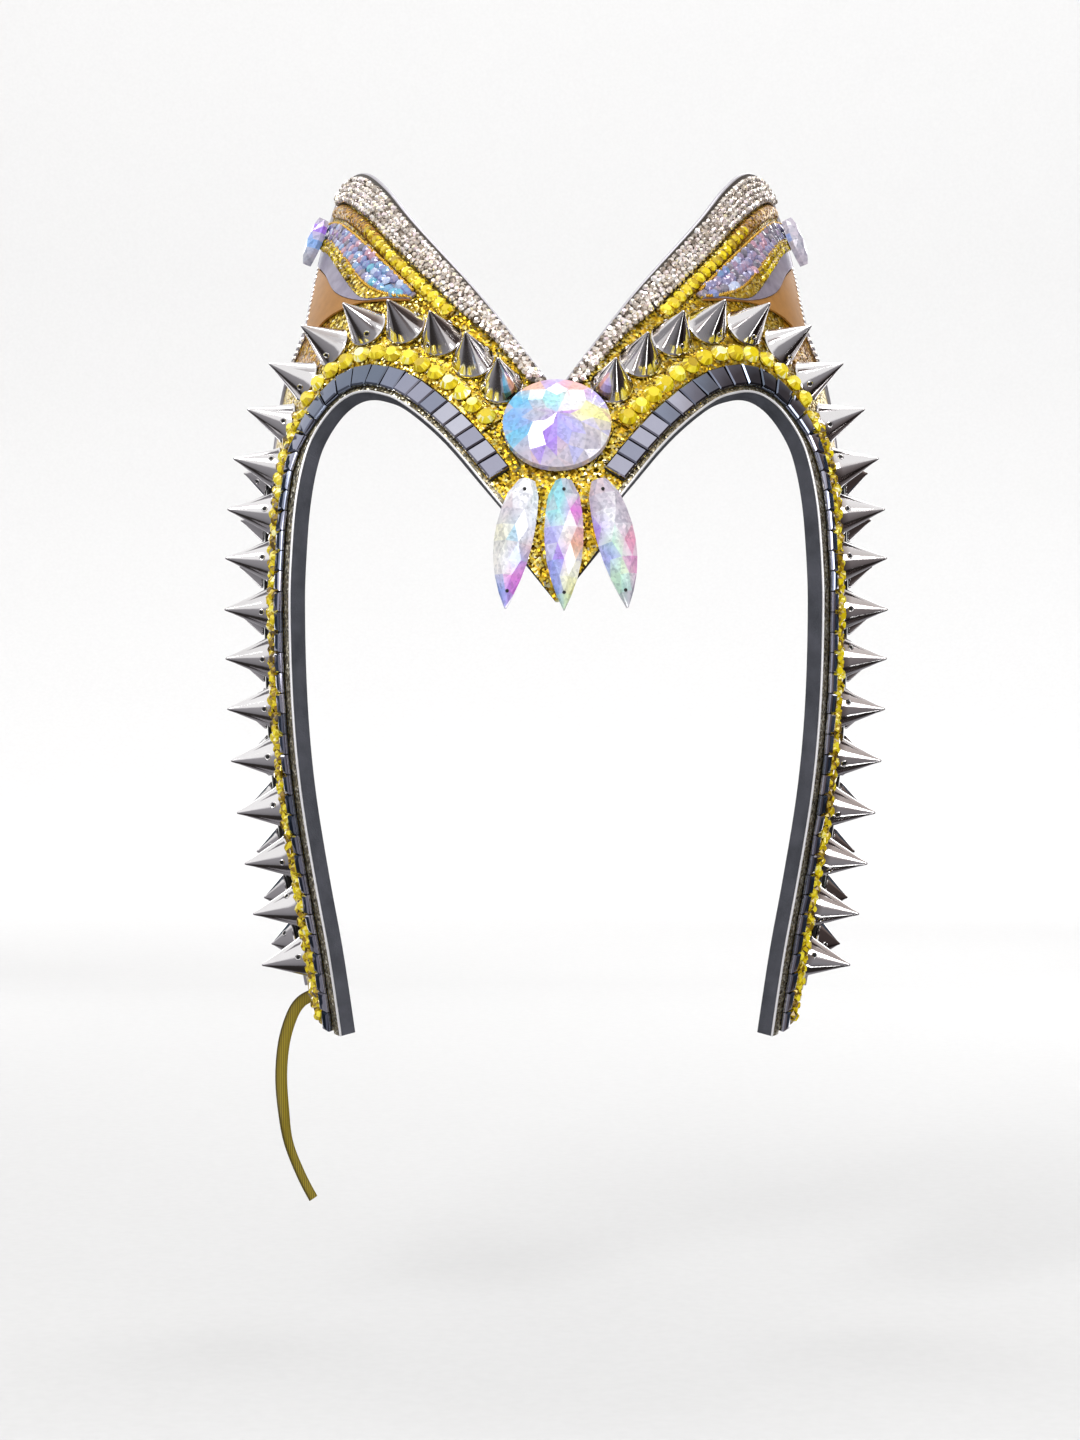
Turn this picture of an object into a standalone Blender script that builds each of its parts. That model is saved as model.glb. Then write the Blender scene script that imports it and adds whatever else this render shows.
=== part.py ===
# Spiked and jewelled carnival headdress: an open-faced foam hood with two wing peaks.
# It faces -Y and stands along +Z. The origin is on the inner face of the brow, at the height of
# the round stone, where the hood rests against a forehead. Left and right are as seen from the front.
import math

import bmesh
import bpy
from mathutils import Matrix, Vector

MM = 0.001

# Foam shell
HALF_WIDTH = 71.5 * MM  # outside, at the temples
SHELL_DEPTH = 75.0 * MM  # brow to the middle of the side panels, front to back
BROW_TO_TIP = 72.5 * MM  # round stone's centre up to the wing peaks
BROW_TO_HEM = 142.0 * MM  # round stone's centre down to the front corner of the side panels
FOAM_THICKNESS = 4.0 * MM
SECTION_POWER = 2.5  # 2 is an ellipse seen from above, and more is squarer

# Clearances
GLUE_GAP = 0.3 * MM  # between a piece and what it is glued to
TRIM_GAP = 0.35 * MM  # between neighbours glued side by side

# Trims that follow the edge of the face opening, from the edge outwards
HEM_WIDTH = 1.3 * MM  # bare glitter hem inside the mirror tiles
TILE_WIDTH = 5.5 * MM  # mirror tile, across the strip
TILE_PITCH = 4.8 * MM
TILE_TAPE = 0.5 * MM
TILE_HEIGHT = 1.0 * MM  # above its tape
TILE_BEVEL = 0.25 * MM
TILE_START = 12.0 * MM  # from the middle of the brow to the first tile
BRAID_WIDTH = 5.9 * MM  # gold strip that carries the yellow stones
BRAID_THICKNESS = 0.8 * MM
BRAID_PITCH = 4.6 * MM
BRAID_STONE = 4.1 * MM  # across
BRAID_STONE_HEIGHT = 1.6 * MM
SIDE_BRAID_PITCH = 7.0 * MM  # the braid's sections below the arch
ARCH_SHARE = 0.52  # share of the braid's run that carries cut stones, from the brow

# Cone spikes
SPIKE_DIAMETER = 10.2 * MM
SPIKE_HEIGHT = 11.0 * MM
SPIKE_RIM = 0.9 * MM
SPIKE_POINT = 0.3 * MM  # radius of the blunted tip
SPIKE_SPACING = 0.32 * MM  # least gap between neighbouring rims, at the brow
SPIKE_ROW = 208.44 * MM  # run of the row on which the spikes have the diameter above
SPIKE_SPREAD = 0.085  # share by which the pitch is shorter at the brow and longer at the hem
SPIKE_SIDES = 10
SPIKE_END = 9.0 * MM  # side panel left bare between the last spikes and the hem
REAR_TAPE_WIDTH = 11.0 * MM
REAR_TAPE_THICKNESS = 0.8 * MM
REAR_PITCH = 12.0 * MM
REAR_SPIKE_HEIGHT = 6.0 * MM
REAR_START = 0.03  # share of the brow's height where the rear spikes begin
REAR_SEARCH = 0.33  # share of that row's run which is over the arch, where it never begins

# Wing trims
MESH_THICKNESS = 1.2 * MM
MESH_RIDGE = 0.45 * MM
MESH_RIDGES = 3
MESH_STATIONS = 12
ROW_WIDTH = 3.7 * MM
ROW_THICKNESS = 0.6 * MM
ROW_PITCH = 3.5 * MM
ROW_STONE_MARGIN = 0.35 * MM
ROW_STONE_HEIGHT = 1.2 * MM
ROW_START = 29.0 * MM  # along the mesh band's lower edge, from the brow
INLAY_THICKNESS = 0.8 * MM
INLAY_STONE_HEIGHT = 0.9 * MM
INLAY_MARGIN = 0.35 * MM
INLAY_STATIONS = 7
EDGE_STONE_LENGTH = 13.0 * MM
EDGE_STONE_WIDTH = 6.6 * MM
EDGE_STONE_HEIGHT = 3.4 * MM

# Brow stones and the plaque that carries them
ROUND_STONE = 25.0 * MM  # across
ROUND_STONE_HEIGHT = 6.2 * MM
PLAQUE_RIM = 0.4 * MM  # plaque showing round the round stone
PLAQUE_THICKNESS = 1.5 * MM
PLAQUE_STEP = 3.5 * MM  # between its sections
PLAQUE_WIDTH = 25.0 * MM  # at its shoulders
PLAQUE_OVERHANG = 6.5 * MM  # its point, below the point of the brow
DROP_LENGTH = 31.0 * MM
DROP_WIDTH = 8.9 * MM
DROP_HEIGHT = 4.6 * MM
DROP_BEND = 0.8 * MM  # how far an outer drop's middle bows outwards
DROP_GAP = 1.3 * MM  # between the round stone and the drops

# Tie
TIE_WIDTH = 3.0 * MM

# The shell from the hem up. Columns: height, as a share of BROW_TO_HEM below the round stone's
# centre and of BROW_TO_TIP above it; half width, as a share of HALF_WIDTH; setback of the front
# centre line from the round stone's, as a share of SHELL_DEPTH.
SECTIONS = (
    (-1.000, 0.853, 0.000),
    (-0.775, 0.923, -0.073),
    (-0.528, 0.982, -0.147),
    (-0.268, 1.000, -0.165),
    (-0.169, 1.000, -0.140),
    (-0.085, 1.000, -0.091),
    (0.000, 0.993, 0.000),
    (0.500, 0.930, 0.296),
    (1.000, 0.811, 0.592),
)

# The shell's outline on one side. Columns: turn in degrees from the front and height share of the
# edge round the face, then of the outer rim across from it.
OUTLINE = (
    (0.0, -0.232, 0.0, 0.125),
    (10.0, -0.117, 5.0, 0.252),
    (19.5, -0.008, 15.2, 0.505),
    (27.6, 0.112, 27.5, 0.765),
    (33.0, 0.154, 35.0, 0.908),
    (37.5, 0.160, 42.5, 0.985),
    (41.8, 0.132, 50.5, 0.988),
    (45.8, 0.077, 58.0, 0.925),
    (49.3, 0.004, 60.0, 0.786),
    (51.3, -0.039, 58.5, 0.607),
    (52.8, -0.085, 58.5, 0.428),
    (54.0, -0.141, 66.0, 0.303),
    (54.8, -0.211, 78.0, 0.138),
    (55.2, -0.296, 86.0, -0.070),
    (55.0, -0.387, 88.0, -0.246),
    (54.2, -0.493, 88.0, -0.408),
    (52.8, -0.613, 86.5, -0.556),
    (50.5, -0.739, 84.0, -0.690),
    (48.0, -0.859, 81.5, -0.817),
    (46.6, -1.000, 80.0, -0.935),
)
WING_ROWS = 8  # rows of the outline whose rim is the wing's upper edge
RIM_SPAN_STEPS = 2  # sections of the shell to each row of the outline
SHELL_COLUMNS = 5

# Lower edge of the crystal mesh band, from the brow to the back of the wing. Columns: turn in
# degrees and height share.
MESH_LOWER_EDGE = (
    (4.7, 0.170),
    (8.0, 0.248),
    (12.2, 0.337),
    (17.6, 0.427),
    (22.2, 0.516),
    (29.5, 0.650),
    (36.6, 0.772),
    (43.5, 0.850),
    (50.0, 0.895),
    (56.0, 0.905),
)

# The inlay between the yellow stones and the spikes, from its front point to the wing's back edge.
# Columns: turn in degrees and height share of the lines that bound its iridescent field, gold bar,
# lilac strip and amber panel.
INLAY = (
    ((25.7, 0.493), (26.6, 0.481), (26.8, 0.478), (27.0, 0.475), (27.2, 0.472)),
    ((30.0, 0.570), (31.0, 0.494), (31.2, 0.488), (31.4, 0.483), (31.6, 0.478)),
    ((34.8, 0.650), (36.4, 0.538), (37.8, 0.497), (38.3, 0.488), (38.8, 0.479)),
    ((41.7, 0.742), (43.2, 0.648), (44.5, 0.600), (45.6, 0.532), (47.0, 0.445)),
    ((49.6, 0.808), (50.3, 0.734), (50.8, 0.684), (51.4, 0.614), (53.0, 0.393)),
    ((58.4, 0.830), (58.4, 0.770), (58.2, 0.731), (57.4, 0.662), (56.9, 0.393)),
)
STONE_FIELD, GOLD_BAR = 0, 1  # spans of the inlay with cut stones
EDGE_STONE_SPOT = (57.0, 0.742)  # turn in degrees and height share

# The plaque from its top to its point. Columns: share of the way down from the round stone's
# centre to the point, and half width as a share of half PLAQUE_WIDTH, below the round part.
PLAQUE_TAIL = (
    (0.215, 0.660),
    (0.335, 0.660),
    (0.470, 0.985),
    (0.620, 1.000),
    (1.000, 0.030),
)

# The plaque's sections round the stone, in degrees above the middle, and its columns as shares of
# the half width.
PLAQUE_ANGLES = (80, 62, 44, 26, 8, -8)
PLAQUE_COLUMNS = (-1, -0.6, -0.2, 0.2, 0.6, 1)

# A drop from its top to its point. Columns: share of its length and of its half width.
DROP_OUTLINE = (
    (0.00, 0.34),
    (0.05, 0.62),
    (0.17, 0.86),
    (0.42, 1.00),
    (0.66, 0.84),
    (0.85, 0.45),
    (1.00, 0.00),
)

# The drops. Columns: name, distance of the top from the middle of the brow, splay in degrees, and
# the way the middle bows.
DROPS = (
    ("left", -6.7 * MM, -9.0, -1),
    ("centre", 1.5 * MM, 0.0, 0),
    ("right", 9.4 * MM, 11.5, 1),
)

# Cut stones from the back up. Columns: scale of the outline, share of the stone's height, and share
# of a facet by which the ring is turned.
ROUND_CUT = (
    (0.96, 0.00, 0.0),
    (1.00, 0.06, 0.0),
    (1.00, 0.24, 0.0),
    (0.80, 0.62, 0.5),
    (0.52, 0.90, 0.0),
    (0.34, 1.00, 0.5),
)
DROP_CUT = (
    (0.90, 0.00, 0.0),
    (1.00, 0.14, 0.0),
    (1.00, 0.34, 0.0),
    (0.66, 0.76, 0.5),
    (0.34, 1.00, 0.5),
)
EDGE_CUT = (
    (0.92, 0.00, 0.0),
    (1.00, 0.12, 0.0),
    (1.00, 0.35, 0.0),
    (0.62, 0.80, 0.5),
    (0.34, 1.00, 0.5),
)
ROUND_FACETS = 16
EDGE_FACETS = 14
EDGE_BLUNTNESS = 1.35  # 1 is an ellipse, and more is pointed
BRAID_CUT = ((1.00, 0.0), (0.56, 1.0))  # shares of the stone's radius and height

# The tie's route from where it leaves the hem to its free end, in metres.
TIE_ROUTE = (
    (-0.0640, 0.0572, -0.1370),
    (-0.0664, 0.0572, -0.1408),
    (-0.0683, 0.0572, -0.1474),
    (-0.0690, 0.0572, -0.1557),
    (-0.0685, 0.0572, -0.1640),
    (-0.0673, 0.0572, -0.1723),
    (-0.0642, 0.0572, -0.1804),
    (-0.0610, 0.0572, -0.1866),
)
TIE_TURN = -78.0  # degrees from the front, where it is sewn to the hem
TIE_STEPS = 2  # points to each span of the route

SAMPLES_PER_ROW = 8  # fineness of the paths that trims follow
MARCH_STEP = 3.0 * MM
SEARCH_STEP = 0.5 * MM
SLOPE_TURN = 0.05  # degrees looked to each side for the shell's slope
SLOPE_RISE = 0.05 * MM
SHARP_ANGLE = 40.0  # degrees from which a spike's edge stays sharp
GIRDLE_SHARE = 0.6  # share of a small stone's height below its flatter facets
SIDES = (("left", -1), ("right", 1))

# Colour, roughness, metallic
FINISHES = {
    "black_foam": ((0.035, 0.036, 0.040), 0.85, 0.0),
    "gold_glitter": ((0.55, 0.37, 0.05), 0.45, 0.8),
    "mirror_tile": ((0.33, 0.34, 0.38), 0.06, 1.0),
    "yellow_stone": ((0.75, 0.60, 0.02), 0.12, 0.2),
    "chromed_spike": ((0.38, 0.37, 0.37), 0.14, 1.0),
    "crystal_mesh": ((0.62, 0.58, 0.54), 0.22, 0.7),
    "iridescent_stone": ((0.62, 0.72, 0.85), 0.08, 0.3),
    "wing_inlay": ((0.42, 0.45, 0.55), 0.25, 0.5),
    "satin_ribbon": ((0.27, 0.20, 0.02), 0.40, 0.0),
}


def smooth(rows, column, position):
    """A smooth curve through one column of rows of (position, value, ...), read at a position."""
    last = len(rows) - 1
    k = next((i for i in range(last - 1) if position < rows[i + 1][0]), last - 1)

    def slope(i):
        low, high = rows[max(i - 1, 0)], rows[min(i + 1, last)]
        return (high[column] - low[column]) / (high[0] - low[0])

    span = rows[k + 1][0] - rows[k][0]
    t = (position - rows[k][0]) / span
    start, end = rows[k][column], rows[k + 1][column]
    value = start * (2 * t**3 - 3 * t**2 + 1) + end * (3 * t**2 - 2 * t**3)
    return value + span * (slope(k) * (t**3 - 2 * t**2 + t) + slope(k + 1) * (t**3 - t**2))


def level(share):
    """The height of a share of the shell's reach above or below the round stone's centre."""
    return share * (BROW_TO_TIP if share > 0 else BROW_TO_HEM)


SECTION_ROWS = [(level(share), half * HALF_WIDTH, back * SHELL_DEPTH) for share, half, back in SECTIONS]


def section(height):
    """The shell's half width and the setback of its front centre line at a height."""
    return smooth(SECTION_ROWS, 1, height), smooth(SECTION_ROWS, 2, height)


BROW_SLOPE = math.atan2(section(MM)[1] - section(-MM)[1], 2 * MM)
SEAT_HEIGHT = FOAM_THICKNESS * math.sin(BROW_SLOPE)
SEAT_SHIFT = -FOAM_THICKNESS * math.cos(BROW_SLOPE) - section(SEAT_HEIGHT)[1]


def raw_point(turn, height):
    """The point of the shell's outer face at a turn from the front, in degrees, and a height."""
    half, back = section(height)
    sine, cosine = math.sin(math.radians(turn)), math.cos(math.radians(turn))
    power = SECTION_POWER
    reach = ((abs(sine) / half) ** power + (abs(cosine) / SHELL_DEPTH) ** power) ** (-1 / power)
    return Vector((reach * sine, SEAT_SHIFT + back + SHELL_DEPTH - reach * cosine, height))


def outward(turn, height):
    """The shell's outward normal."""
    round_the_head = raw_point(turn + SLOPE_TURN, height) - raw_point(turn - SLOPE_TURN, height)
    upwards = raw_point(turn, height + SLOPE_RISE) - raw_point(turn, height - SLOPE_RISE)
    return round_the_head.cross(upwards).normalized()


def shell_point(spot, lift=0.0):
    """A point above a spot, which is a turn in degrees and a height."""
    return raw_point(*spot) + lift * outward(*spot)


def spot_of(point):
    """The spot under a point near the shell."""
    middle = SEAT_SHIFT + section(point.z)[1] + SHELL_DEPTH
    return Vector((math.degrees(math.atan2(point.x, middle - point.y)), point.z))


def spot_across(x, height):
    """The spot on the front of the shell at a distance x from its middle."""
    half = section(height)[0]
    ahead = SHELL_DEPTH * (1 - (abs(x) / half) ** SECTION_POWER) ** (1 / SECTION_POWER)
    return Vector((math.degrees(math.atan2(x, ahead)), height))


def curve_through(points, steps):
    """Points of a smooth curve through the given points, with a number of steps to each span."""
    found = []
    last = len(points) - 1
    for k in range(last):
        before, start, end, after = (Vector(points[min(max(k + m, 0), last)]) for m in (-1, 0, 1, 2))
        for step in range(steps):
            t = step / steps
            bend = (2 * before - 5 * start + 4 * end - after) * t**2
            bend += (3 * start - before - 3 * end + after) * t**3
            found.append((2 * start + (end - before) * t + bend) / 2)
    return found + [Vector(points[-1])]


class Path:
    """A line of spots on the shell, read by its length."""

    def __init__(self, spots):
        self.spots = spots
        self.marks = [0.0]
        for a, b in zip(spots, spots[1:]):
            self.marks.append(self.marks[-1] + (shell_point(b) - shell_point(a)).length)
        self.length = self.marks[-1]

    def spot(self, distance):
        last = len(self.spots) - 1
        k = next((i for i in range(last - 1) if distance < self.marks[i + 1]), last - 1)
        share = (distance - self.marks[k]) / (self.marks[k + 1] - self.marks[k])
        return self.spots[k].lerp(self.spots[k + 1], share)

    def tangent(self, distance):
        ahead, behind = self.spot(distance + MM), self.spot(distance - MM)
        return (shell_point(ahead) - shell_point(behind)).normalized()

    def across(self, distance, offset):
        """The spot reached by leaving the path squarely, away from the face, by an offset."""
        spot, tangent = self.spot(distance), self.tangent(distance)
        steps = max(1, math.ceil(abs(offset) / MARCH_STEP))
        for _ in range(steps):
            aside = outward(*spot).cross(tangent).normalized()
            spot = spot_of(shell_point(spot) + aside * (offset / steps))
        return spot

    def lane(self, offset):
        """The path that runs beside this one."""
        spots = [self.across(mark, offset) for mark in self.marks]
        return Path([spot for spot in spots if spot.x > 0])

    def first_clear(self, point, radius, offsets=(0.0,)):
        """How far along the path it leaves a ball round a point for good, with its offsets."""
        distance = self.length
        while distance > 0:
            spots = [self.across(distance, offset) for offset in offsets]
            if any((shell_point(spot) - point).length < radius for spot in spots):
                break
            distance -= SEARCH_STEP
        return distance + SEARCH_STEP

    def stations(self, start, end, pitch):
        """Even distances from start to end, about a pitch apart."""
        count = max(1, round((end - start) / pitch))
        return [start + (end - start) * k / count for k in range(count + 1)]


def hem_end(edge, path, reach):
    """Where a lane ends, so that a trim that reaches this far from the edge stops at the hem."""
    turn, share = OUTLINE[-1][2:]
    hem = shell_point((turn, level(share))) - shell_point(edge.spots[-1])
    tangent = edge.tangent(edge.length)
    aside = outward(*edge.spots[-1]).cross(tangent)
    return path.length + reach * hem.dot(tangent) / hem.dot(aside)


def outline_spots(column):
    return [(row[column], level(row[column + 1])) for row in OUTLINE]


def spots_of(rows):
    return [(turn, level(share)) for turn, share in rows]


def lerped(a, b, count):
    return [a.lerp(b, k / count) for k in range(count + 1)]


def slab(columns, low, highs):
    """A closed body over the shell, from columns of spots, and its top faces. highs holds a lift
    for each column."""
    mesh = bmesh.new()
    bottom = [[mesh.verts.new(shell_point(spot, low)) for spot in column] for column in columns]
    top = [
        [mesh.verts.new(shell_point(spot, high)) for spot in column]
        for column, high in zip(columns, highs)
    ]
    wide, long = len(columns) - 1, len(columns[0]) - 1
    top_faces = []
    for c in range(wide):
        for s in range(long):
            corners = ((c, s), (c, s + 1), (c + 1, s + 1), (c + 1, s))
            top_faces.append(mesh.faces.new([top[i][j] for i, j in corners]))
            mesh.faces.new([bottom[i][j] for i, j in reversed(corners)])
    rim = [(0, s) for s in range(long)] + [(c, long) for c in range(wide)]
    rim += [(wide, s) for s in range(long, 0, -1)] + [(c, 0) for c in range(wide, 0, -1)]
    for (a, b), (c, d) in zip(rim, rim[1:] + rim[:1]):
        mesh.faces.new((bottom[a][b], bottom[c][d], top[c][d], top[a][b]))
    bmesh.ops.recalc_face_normals(mesh, faces=mesh.faces)
    return mesh, top_faces


def raise_plates(mesh, faces, margin, height):
    """Raises each face as a plate with sloping sides."""
    bmesh.ops.inset_individual(mesh, faces=faces, thickness=margin, depth=height)


def raise_cushion_stones(mesh, faces, margin, height):
    """Raises each face as a square cut stone: four steep facets, four flat ones and a table."""
    raise_plates(mesh, faces, margin, GIRDLE_SHARE * height)
    raise_plates(mesh, faces, 2 * margin, (1 - GIRDLE_SHARE) * height)


def ring_on(face, radius, count, lift, phase=0.0):
    """Points of a ring above a face, the first one towards its second edge's middle."""
    centre, normal = face.calc_center_median(), face.normal
    ahead = (face.verts[1].co - face.verts[0].co).normalized()
    aside = normal.cross(ahead).normalized()
    angles = [2 * math.pi * (k + phase) / count for k in range(count)]
    return [
        centre + lift * normal + radius * (math.cos(a) * ahead + math.sin(a) * aside)
        for a in angles
    ]


def crown_on(mesh, face, rings):
    """Replaces a four-sided face by a collar and a crown of rings of eight points. rings holds a
    radius and a lift each, and a radius of zero is a point."""
    corners = list(face.verts)
    loops = []
    for radius, lift in rings:
        count = 8 if radius else 1
        loops.append([mesh.verts.new(point) for point in ring_on(face, radius, count, lift, 0.5)])
    mesh.faces.remove(face)
    first = loops[0]
    # The ring's points 7 and 0 lie beside corners 1 and 2, and so on round.
    for side in range(4):
        near = (2 * side + 7) % 8
        a, b = corners[(side + 1) % 4], corners[(side + 2) % 4]
        mesh.faces.new((a, b, first[(near + 1) % 8], first[near]))
        mesh.faces.new((b, first[(near + 2) % 8], first[(near + 1) % 8]))
    for lower, upper in zip(loops, loops[1:]):
        for k in range(8):
            after = (k + 1) % 8
            quad = (lower[k], lower[after], upper[after % len(upper)], upper[k % len(upper)])
            mesh.faces.new(quad if len(upper) > 1 else quad[:3])
    if len(loops[-1]) > 1:
        mesh.faces.new(loops[-1])


def cut_stone(outline, cut, thickness):
    """A flat-backed stone with an outline of flat points. cut holds a scale, a share of the
    thickness and a share of a facet for each ring."""
    mesh = bmesh.new()
    count = len(outline)
    rings = []
    for scale, height, turned in cut:
        spots = [scale * a.lerp(b, turned) for a, b in zip(outline, outline[1:] + outline[:1])]
        rings.append([mesh.verts.new((*spot, height * thickness)) for spot in spots])
    mesh.faces.new(reversed(rings[0]))
    mesh.faces.new(rings[-1])
    for (lower, low), (upper, high) in zip(zip(rings, cut), zip(rings[1:], cut[1:])):
        for k in range(count):
            a, b, c, d = lower[k], lower[(k + 1) % count], upper[(k + 1) % count], upper[k]
            if low[2] == high[2]:
                mesh.faces.new((a, b, c, d))
            else:
                mesh.faces.new((a, b, d))
                mesh.faces.new((b, c, d))
    bmesh.ops.recalc_face_normals(mesh, faces=mesh.faces)
    return mesh


def round_outline():
    angles = [2 * math.pi * k / ROUND_FACETS for k in range(ROUND_FACETS)]
    return [Vector((math.cos(a), math.sin(a))) * ROUND_STONE / 2 for a in angles]


def drop_outline(bow):
    """Down one side of a drop and up the other, about its middle, with its point at -y."""
    down, point = DROP_OUTLINE[:-1], DROP_OUTLINE[-1]
    rows = [(share, half) for share, half in down] + [point]
    rows += [(share, -half) for share, half in reversed(down)]
    outline = []
    for share, half in rows:
        bend = bow * DROP_BEND * (1 - (1 - 2 * share) ** 2)
        outline.append(Vector((bend + half * DROP_WIDTH / 2, (0.5 - share) * DROP_LENGTH)))
    return outline


def edge_stone_outline():
    outline = []
    for k in range(EDGE_FACETS):
        angle = 2 * math.pi * k / EDGE_FACETS
        across = math.copysign(abs(math.sin(angle)) ** EDGE_BLUNTNESS, math.sin(angle))
        outline.append(Vector((across * EDGE_STONE_WIDTH, math.cos(angle) * EDGE_STONE_LENGTH)) / 2)
    return outline


def standing(spot, lift, tilt=0.0):
    """The placing of a piece whose back lies above a spot, its +Y upwards and turned by tilt."""
    normal = outward(*spot)
    across = Vector((0, 0, 1)).cross(normal).normalized()
    along = normal.cross(across)
    turned = Matrix((across, along, normal)).transposed().to_4x4()
    return Matrix.Translation(shell_point(spot, lift)) @ turned @ Matrix.Rotation(tilt, 4, "Z")


def seat_lift(outline, spot, carrier, tilt=0.0):
    """The lift at which a flat back with this outline clears a carrier's top face by the glue gap."""
    place = standing(spot, 0.0, tilt)
    lift = carrier
    for point in outline:
        edge = place @ point.to_3d()
        under = shell_point(spot_of(edge), carrier)
        lift = max(lift, (under - edge).dot(outward(*spot)))
    return lift + GLUE_GAP


def finish_of(name):
    """The material of one of the finishes."""
    if name in bpy.data.materials:
        return bpy.data.materials[name]
    colour, roughness, metallic = FINISHES[name]
    material = bpy.data.materials.new(name)
    material.use_nodes = True
    shader = material.node_tree.nodes["Principled BSDF"]
    shader.inputs["Base Color"].default_value = (*colour, 1)
    shader.inputs["Roughness"].default_value = roughness
    shader.inputs["Metallic"].default_value = metallic
    material.diffuse_color = (*colour, 1)
    return material


def mesh_data(mesh, name, finish):
    data = bpy.data.meshes.new(name)
    mesh.to_mesh(data)
    mesh.free()
    data.materials.append(finish_of(finish))
    return data


def add_object(name, data, place=None):
    piece = bpy.data.objects.new(name, data)
    if place is not None:
        piece.matrix_world = place
    bpy.context.collection.objects.link(piece)
    return piece


def add_body(name, mesh, finish, side=1):
    """Adds a body that was modelled on the right. The left one is its mirror image."""
    if side < 0:
        bmesh.ops.scale(mesh, verts=mesh.verts, vec=(-1, 1, 1))
        bmesh.ops.reverse_faces(mesh, faces=mesh.faces)
    return add_object(name, mesh_data(mesh, name, finish))


def make_shell():
    """The foam hood: the outer face of one half, mirrored and thickened inwards."""
    edge = curve_through(outline_spots(0), RIM_SPAN_STEPS)
    rim = curve_through(outline_spots(2), RIM_SPAN_STEPS)
    mesh = bmesh.new()
    grid = [
        [mesh.verts.new(shell_point(spot)) for spot in lerped(inner, outer, SHELL_COLUMNS)]
        for inner, outer in zip(edge, rim)
    ]
    for row, following in zip(grid, grid[1:]):
        for k in range(SHELL_COLUMNS):
            mesh.faces.new((row[k], following[k], following[k + 1], row[k + 1]))
    shell = add_body("base_shell", mesh, "black_foam")
    mirror = shell.modifiers.new("both sides", "MIRROR")
    mirror.merge_threshold = 0.0001
    foam = shell.modifiers.new("foam", "SOLIDIFY")
    foam.thickness = FOAM_THICKNESS
    foam.offset = -1


def make_mirror_strip(side_name, side, edge):
    """Mirror tiles on a tape, next to the hem."""
    path = edge.lane(HEM_WIDTH + TILE_WIDTH / 2)
    start = next(m for m, spot in zip(path.marks, path.spots) if shell_point(spot).x > TILE_START)
    end = hem_end(edge, path, HEM_WIDTH + TILE_WIDTH)
    stations = path.stations(start, end, TILE_PITCH)
    offsets = (-TILE_WIDTH / 2, TILE_WIDTH / 2)
    columns = [[path.across(s, offset) for s in stations] for offset in offsets]
    top = GLUE_GAP + TILE_TAPE
    mesh, tiles = slab(columns, GLUE_GAP, (top, top))
    raise_plates(mesh, tiles, TILE_BEVEL, TILE_HEIGHT)
    add_body(f"mirror_strip_{side_name}", mesh, "mirror_tile", side)


def make_braid(side_name, side, edge, disc):
    """The gold strip outside the mirror tiles, with round cut stones over the brow."""
    inner = HEM_WIDTH + TILE_WIDTH + TRIM_GAP
    path = edge.lane(inner + BRAID_WIDTH / 2)
    offsets = (-BRAID_WIDTH / 2, BRAID_WIDTH / 2)
    start = path.first_clear(*disc, offsets)
    arch = path.length * ARCH_SHARE
    end = hem_end(edge, path, inner + BRAID_WIDTH)
    jewelled = path.stations(start, arch, BRAID_PITCH)
    stations = jewelled + path.stations(arch, end, SIDE_BRAID_PITCH)[1:]
    columns = [[path.across(s, offset) for s in stations] for offset in offsets]
    top = GLUE_GAP + BRAID_THICKNESS
    mesh, faces = slab(columns, GLUE_GAP, (top, top))
    rings = [(scale * BRAID_STONE / 2, rise * BRAID_STONE_HEIGHT) for scale, rise in BRAID_CUT]
    for face in faces[: len(jewelled) - 1]:
        crown_on(mesh, face, rings)
    bmesh.ops.recalc_face_normals(mesh, faces=mesh.faces)
    add_body(f"gold_row_{side_name}", mesh, "yellow_stone", side)


def spike_mesh(diameter):
    """A cone spike on a short rim, standing on the origin."""
    mesh = bmesh.new()
    radius = diameter / 2
    levels = ((radius, 0.0), (radius, SPIKE_RIM), (SPIKE_POINT, SPIKE_HEIGHT))
    rings = []
    for reach, height in levels:
        angles = [2 * math.pi * k / SPIKE_SIDES for k in range(SPIKE_SIDES)]
        rings.append([mesh.verts.new((reach * math.cos(a), reach * math.sin(a), height)) for a in angles])
    mesh.faces.new(reversed(rings[0]))
    mesh.faces.new(rings[-1])
    for lower, upper in zip(rings, rings[1:]):
        for k in range(SPIKE_SIDES):
            after = (k + 1) % SPIKE_SIDES
            mesh.faces.new((lower[k], lower[after], upper[after], upper[k]))
    data = mesh_data(mesh, "cone_spike", "chromed_spike")
    data.shade_smooth()
    data.set_sharp_from_angle(angle=math.radians(SHARP_ANGLE))
    return data


def spike_row(edge, disc, diameter):
    """The line of the spikes' centres, where its first one stands and the run to its last one."""
    row = HEM_WIDTH + TILE_WIDTH + BRAID_WIDTH + 2 * TRIM_GAP + diameter / 2
    path = edge.lane(row)
    centre, radius = disc
    start = path.first_clear(centre, radius + diameter / 2)
    end = hem_end(edge, path, row + diameter / 2) - diameter / 2 - SPIKE_END
    return path, start, end - start


def spike_diameter(edge, disc):
    """The spikes' diameter on this shell. A shorter row has as many spikes, and smaller ones."""
    return SPIKE_DIAMETER * spike_row(edge, disc, SPIKE_DIAMETER)[2] / SPIKE_ROW


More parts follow.
